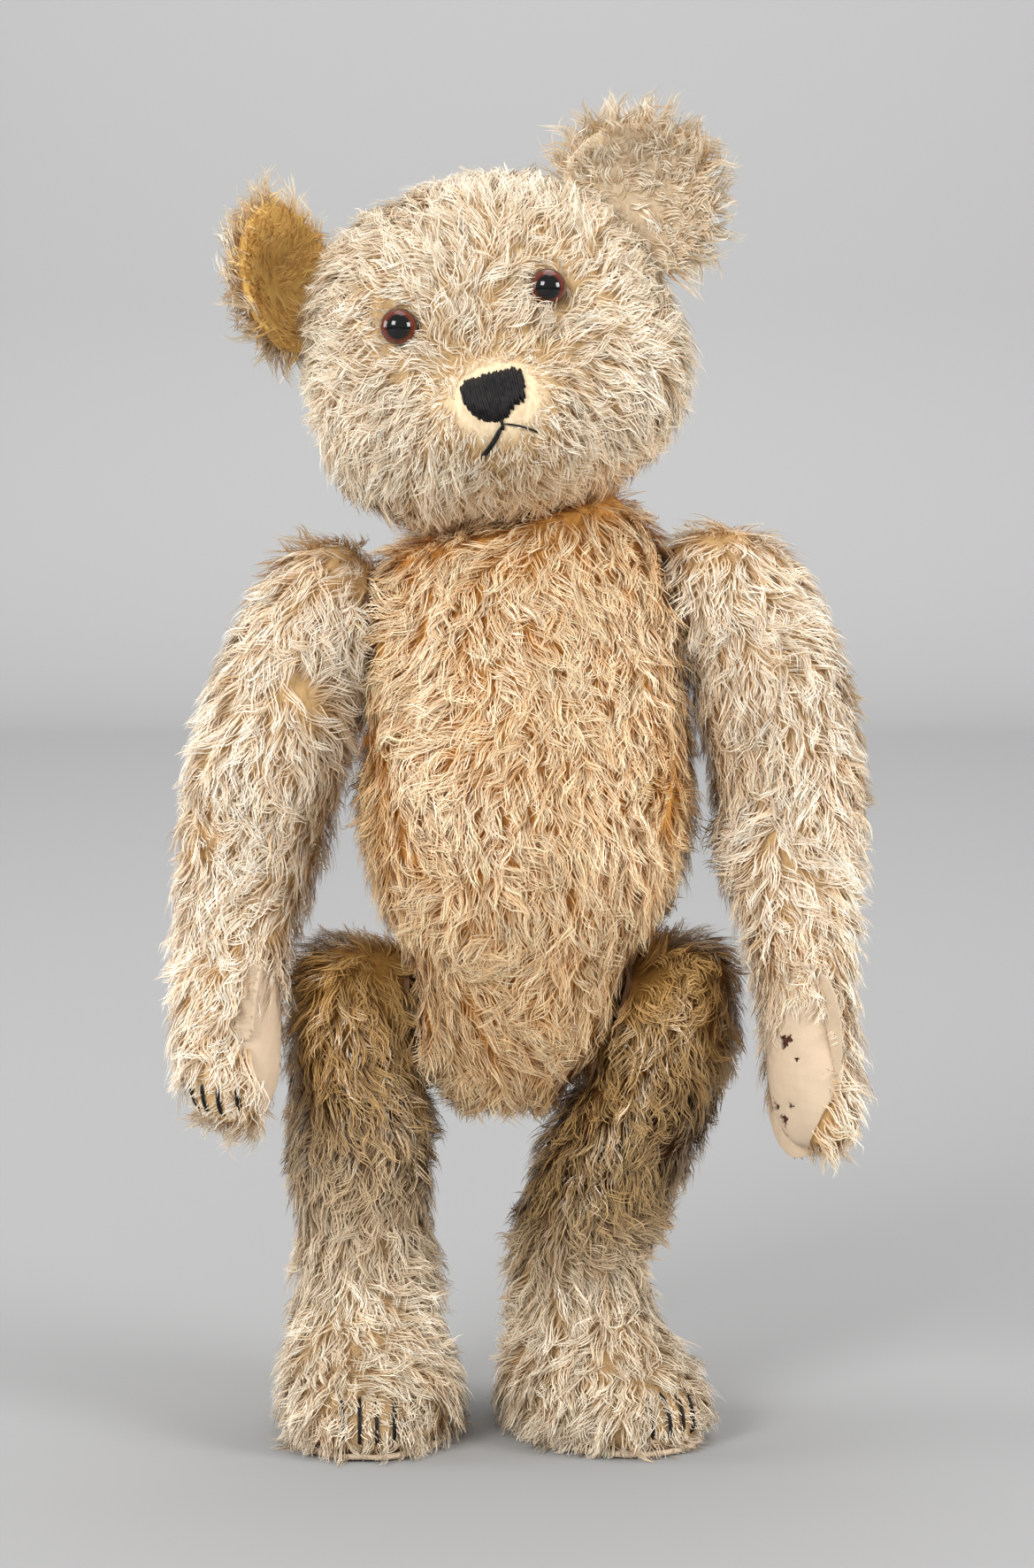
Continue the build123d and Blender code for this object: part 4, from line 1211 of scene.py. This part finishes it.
class BEAR_OT_claws(bpy.types.Operator):
    """Stitch four claws of doubled thread on every paw and foot"""

    bl_idname = "bear.claws"
    bl_label = "Claws"

    def execute(self, context):
        for limb in ("arm", "leg"):
            for side in SIDES:
                node = f"{limb}_{side}_claws"
                base = BASES[f"{limb}_cloth_{side}"]
                tree = tree_of(base)
                co, _ = mesh_arrays(NODES[node].data)
                _, axes = np.linalg.eigh(np.cov((co[:, :2] - co[:, :2].mean(0)).T))
                across = np.array((*axes[:, 1], 0))
                outward = np.cross(across, UP)
                body = vertex_places(base)
                body = body[np.abs(body[:, 2] - co[:, 2].mean()) < 0.02].mean(0)
                outward = outward * np.sign((co.mean(0) - body) @ outward)
                order = np.sort(co @ across)
                cuts = np.sort(np.argsort(np.diff(order))[-3:])
                rows = np.split(order, cuts + 1)
                low, high = co[:, 2].min(), co[:, 2].max()
                steps = 9
                z = np.linspace(low, high, steps)
                paths = []
                for row in rows:
                    for shift in (-0.0004, 0.0004):
                        line = body + np.outer(np.full(steps, row.mean() - body @ across + shift), across)
                        line[:, 2] = z
                        outside = line + outward * 0.06
                        hit = cast_on(tree, outside, outward, 0.08)
                        missed = (hit == outside).all(axis=1)
                        hit[missed] = hit[~missed][0] + line[missed] - line[~missed][0]
                        bulge = 0.0022 * (1 - np.linspace(-1, 1, steps) ** 6) - 0.0006
                        paths.append(hit + outward * bulge[:, None])
                claws = tubes(f"{limb}_claw_threads_{side}", np.array(paths), np.full(8, 0.0007), black_thread())
                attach(claws, f"{limb}_{side}")
                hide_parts(node)
        return {"FINISHED"}


class BEAR_OT_eyes(bpy.types.Operator):
    """Blow the glass eyes, black pupil in a red-brown iris, and seat them on the pile"""

    bl_idname = "bear.eyes"
    bl_label = "Eyes"

    def execute(self, context):
        colours = settings_of()[2]
        for side in SIDES:
            node = NODES[f"eye_{side}"]
            low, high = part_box(node.name)
            radius = (high[0] - low[0]) / 2
            centre = middle(node.name) + HEAD_FORWARD * 0.0055
            rows, columns = 24, 48
            polar = np.linspace(0.001, math.pi - 0.001, rows)[:, None]
            turn = np.linspace(0, 2 * math.pi, columns, endpoint=False)
            round_it = np.stack(
                [np.sin(polar) * np.cos(turn), -np.cos(polar) * np.ones(columns), np.sin(polar) * np.sin(turn)], -1
            )
            material = eye_material(
                f"eye glass {side}", centre, radius, ((0.002, 0.002, 0.002), colours.iris, (0.01, 0.004, 0.003))
            )
            verts = centre + radius * round_it.reshape(-1, 3)
            eye = mesh_from(f"glass_eye_{side}", verts, grid_faces(rows, columns, wrap=True), material)
            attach(eye, "head")
            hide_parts(node.name)
        return {"FINISHED"}


class BEAR_OT_inner(bpy.types.Operator):
    """Finish the parts inside: wood wool, hardboard, steel, cardboard, leather, iron and brass"""

    bl_idname = "bear.inner"
    bl_label = "Inner parts"

    def execute(self, context):
        finishes = [
            ("wood_wool", ("stuffing",), (0.60, 0.42, 0.18), 0.9, 0.0, 0.5, 300),
            ("hardboard", ("disc", "insole"), (0.16, 0.075, 0.03), 0.8, 0.0, 0.3, 250),
            ("steel", ("washer", "cotter", "shank"), (0.45, 0.45, 0.44), 0.35, 1.0, 0.25, 400),
            ("cardboard", ("growler_case", "growler_end"), (0.32, 0.21, 0.11), 0.9, 0.0, 0.2, 180),
            ("bellows_leather", ("bellows",), (0.12, 0.05, 0.022), 0.6, 0.0, 0.35, 220),
            ("weight_iron", ("growler_weight",), (0.08, 0.08, 0.085), 0.55, 0.9, 0.3, 260),
            ("reed_brass", ("reed",), (0.62, 0.38, 0.10), 0.3, 1.0, 0.2, 300),
        ]
        for slot_name, words, colour, roughness, metallic, grain, scale in finishes:
            material = plain_material(slot_name, colour, roughness, metallic, grain, scale)
            for name, node in NODES.items():
                if any(word in name for word in words):
                    node.data.materials.clear()
                    node.data.materials.append(material)
        return {"FINISHED"}


# ------------------------------------------------------------------ stage


class BEAR_OT_stage(bpy.types.Operator):
    """Set the pale floor, its curved backdrop, soft lamps and the camera"""

    bl_idname = "bear.stage"
    bl_label = "Stage"

    def execute(self, context):
        *_, stage = settings_of()
        make_backdrop(stage)
        make_lamps()
        make_camera(stage)
        return {"FINISHED"}


def make_backdrop(stage):
    """A sheet that runs forward as the floor and turns up behind in a quarter circle, paler further back as
    painted light that evens out the lamps.
    """
    material, tree, shader = new_material("backdrop paper", 0.85, 0.2)
    coords = tree.nodes.new("ShaderNodeTexCoord")
    split = tree.nodes.new("ShaderNodeSeparateXYZ")
    tree.links.new(coords.outputs["Object"], split.inputs["Vector"])
    reach, radius, top = 4.2, 0.6, 4.4
    depth = tree.nodes.new("ShaderNodeMath")
    depth.operation = "DIVIDE"
    depth.inputs[1].default_value = reach
    tree.links.new(split.outputs["Y"], depth.inputs[0])
    # Painted light: the paper is darkest at the front of the floor, where the lamps fall strongest, and paler up
    # the back, to even out its brightness
    tones = [(0.0, 0.70), (0.5, 0.86), (0.86, 0.98), (1.0, 1.07)]
    stops = [(share, shade(stage.backdrop, tone)) for share, tone in tones]
    ramp = add_ramp(tree, depth.outputs["Value"], stops)
    tree.links.new(ramp.outputs["Color"], shader.inputs["Base Color"])
    s = np.linspace(0, math.pi / 2, 24)
    y = np.concatenate([[-12.0], reach - radius + radius * np.sin(s), [reach]])
    z = np.concatenate([[0], radius - radius * np.cos(s), [top]])
    x = np.array([-12.0, 12.0])
    verts = np.stack([np.tile(x, len(y)), np.repeat(y, 2), np.repeat(z, 2)], 1)
    floor = mesh_from("studio_floor", verts, grid_faces(len(y), 2)[:, ::-1], material)


def make_lamps():
    """A soft key from the upper left in front, a fill from the right, lower lamps at the side and above, and
    one on the backdrop."""
    world = bpy.data.worlds.new("studio air")
    bpy.context.scene.world = world
    world.use_nodes = True
    world.node_tree.nodes["Background"].inputs["Color"].default_value = (1, 1, 1, 1)
    world.node_tree.nodes["Background"].inputs["Strength"].default_value = 0.50
    lamps = [
        ("key", (-1.5, -2.2, 1.7), (0, 0, 0.35), 1.1, 60),
        ("fill", (2.1, -1.0, 1.1), (0, 0, 0.38), 0.9, 40),
        ("side", (-2.2, 0.1, 1.0), (0, 0, 0.40), 1.0, 22),
        ("top", (0.2, 0.3, 2.6), (0, 0, 0.2), 1.6, 18),
        ("wall", (0.0, 1.7, 3.0), (0, 4.2, 0.7), 2.0, 45),
    ]
    for name, place, target, size, power in lamps:
        data = bpy.data.lights.new(name, "AREA")
        data.size = size
        data.energy = power
        lamp = bpy.data.objects.new(name, data)
        lamp.location = place
        lamp.rotation_euler = (Vector(target) - Vector(place)).to_track_quat("-Z", "Y").to_euler()
        bpy.context.scene.collection.objects.link(lamp)


def make_camera(stage):
    """Long lens at chest height, looking slightly down."""
    data = bpy.data.cameras.new("camera")
    data.lens = stage.lens
    data.sensor_fit = "VERTICAL"
    data.sensor_height = 36
    camera = bpy.data.objects.new("camera", data)
    depth = middle("torso_stuffing")[1]
    camera.location = (-0.0015, depth - stage.distance, stage.height)
    camera.rotation_euler = (math.pi / 2 - stage.tilt, 0, 0)
    bpy.context.scene.collection.objects.link(camera)
    bpy.context.scene.camera = camera
    bpy.context.scene.view_settings.view_transform = "Standard"


OPERATORS = [
    BEAR_OT_stage,
    BEAR_OT_torso,
    BEAR_OT_head,
    BEAR_OT_ears,
    BEAR_OT_arms,
    BEAR_OT_legs,
    BEAR_OT_paw_pads,
    BEAR_OT_soles,
    BEAR_OT_face,
    BEAR_OT_claws,
    BEAR_OT_eyes,
    BEAR_OT_inner,
]


class BEAR_PT_panel(bpy.types.Panel):
    """The bear's pieces and their sizes and colours"""

    bl_idname = "BEAR_PT_panel"
    bl_label = "Teddy Bear"
    bl_space_type = "VIEW_3D"
    bl_region_type = "UI"
    bl_category = "Bear"

    def draw(self, context):
        layout = self.layout
        for operator in OPERATORS:
            layout.operator(operator.bl_idname)
        for name, group in SETTINGS.items():
            box = layout.box()
            for field in group.__annotations__:
                box.prop(getattr(context.scene, name), field)


def register():
    for name, group in SETTINGS.items():
        bpy.utils.register_class(group)
        setattr(bpy.types.Scene, name, bpy.props.PointerProperty(type=group))
    for operator in OPERATORS:
        bpy.utils.register_class(operator)
    bpy.utils.register_class(BEAR_PT_panel)


def unregister():
    bpy.utils.unregister_class(BEAR_PT_panel)
    for operator in reversed(OPERATORS):
        bpy.utils.unregister_class(operator)
    for name, group in SETTINGS.items():
        delattr(bpy.types.Scene, name)
        bpy.utils.unregister_class(group)


def main():
    register()
    for operator in OPERATORS:
        group, name = operator.bl_idname.split(".")
        getattr(getattr(bpy.ops, group), name)()


if __name__ == "__main__":
    main()
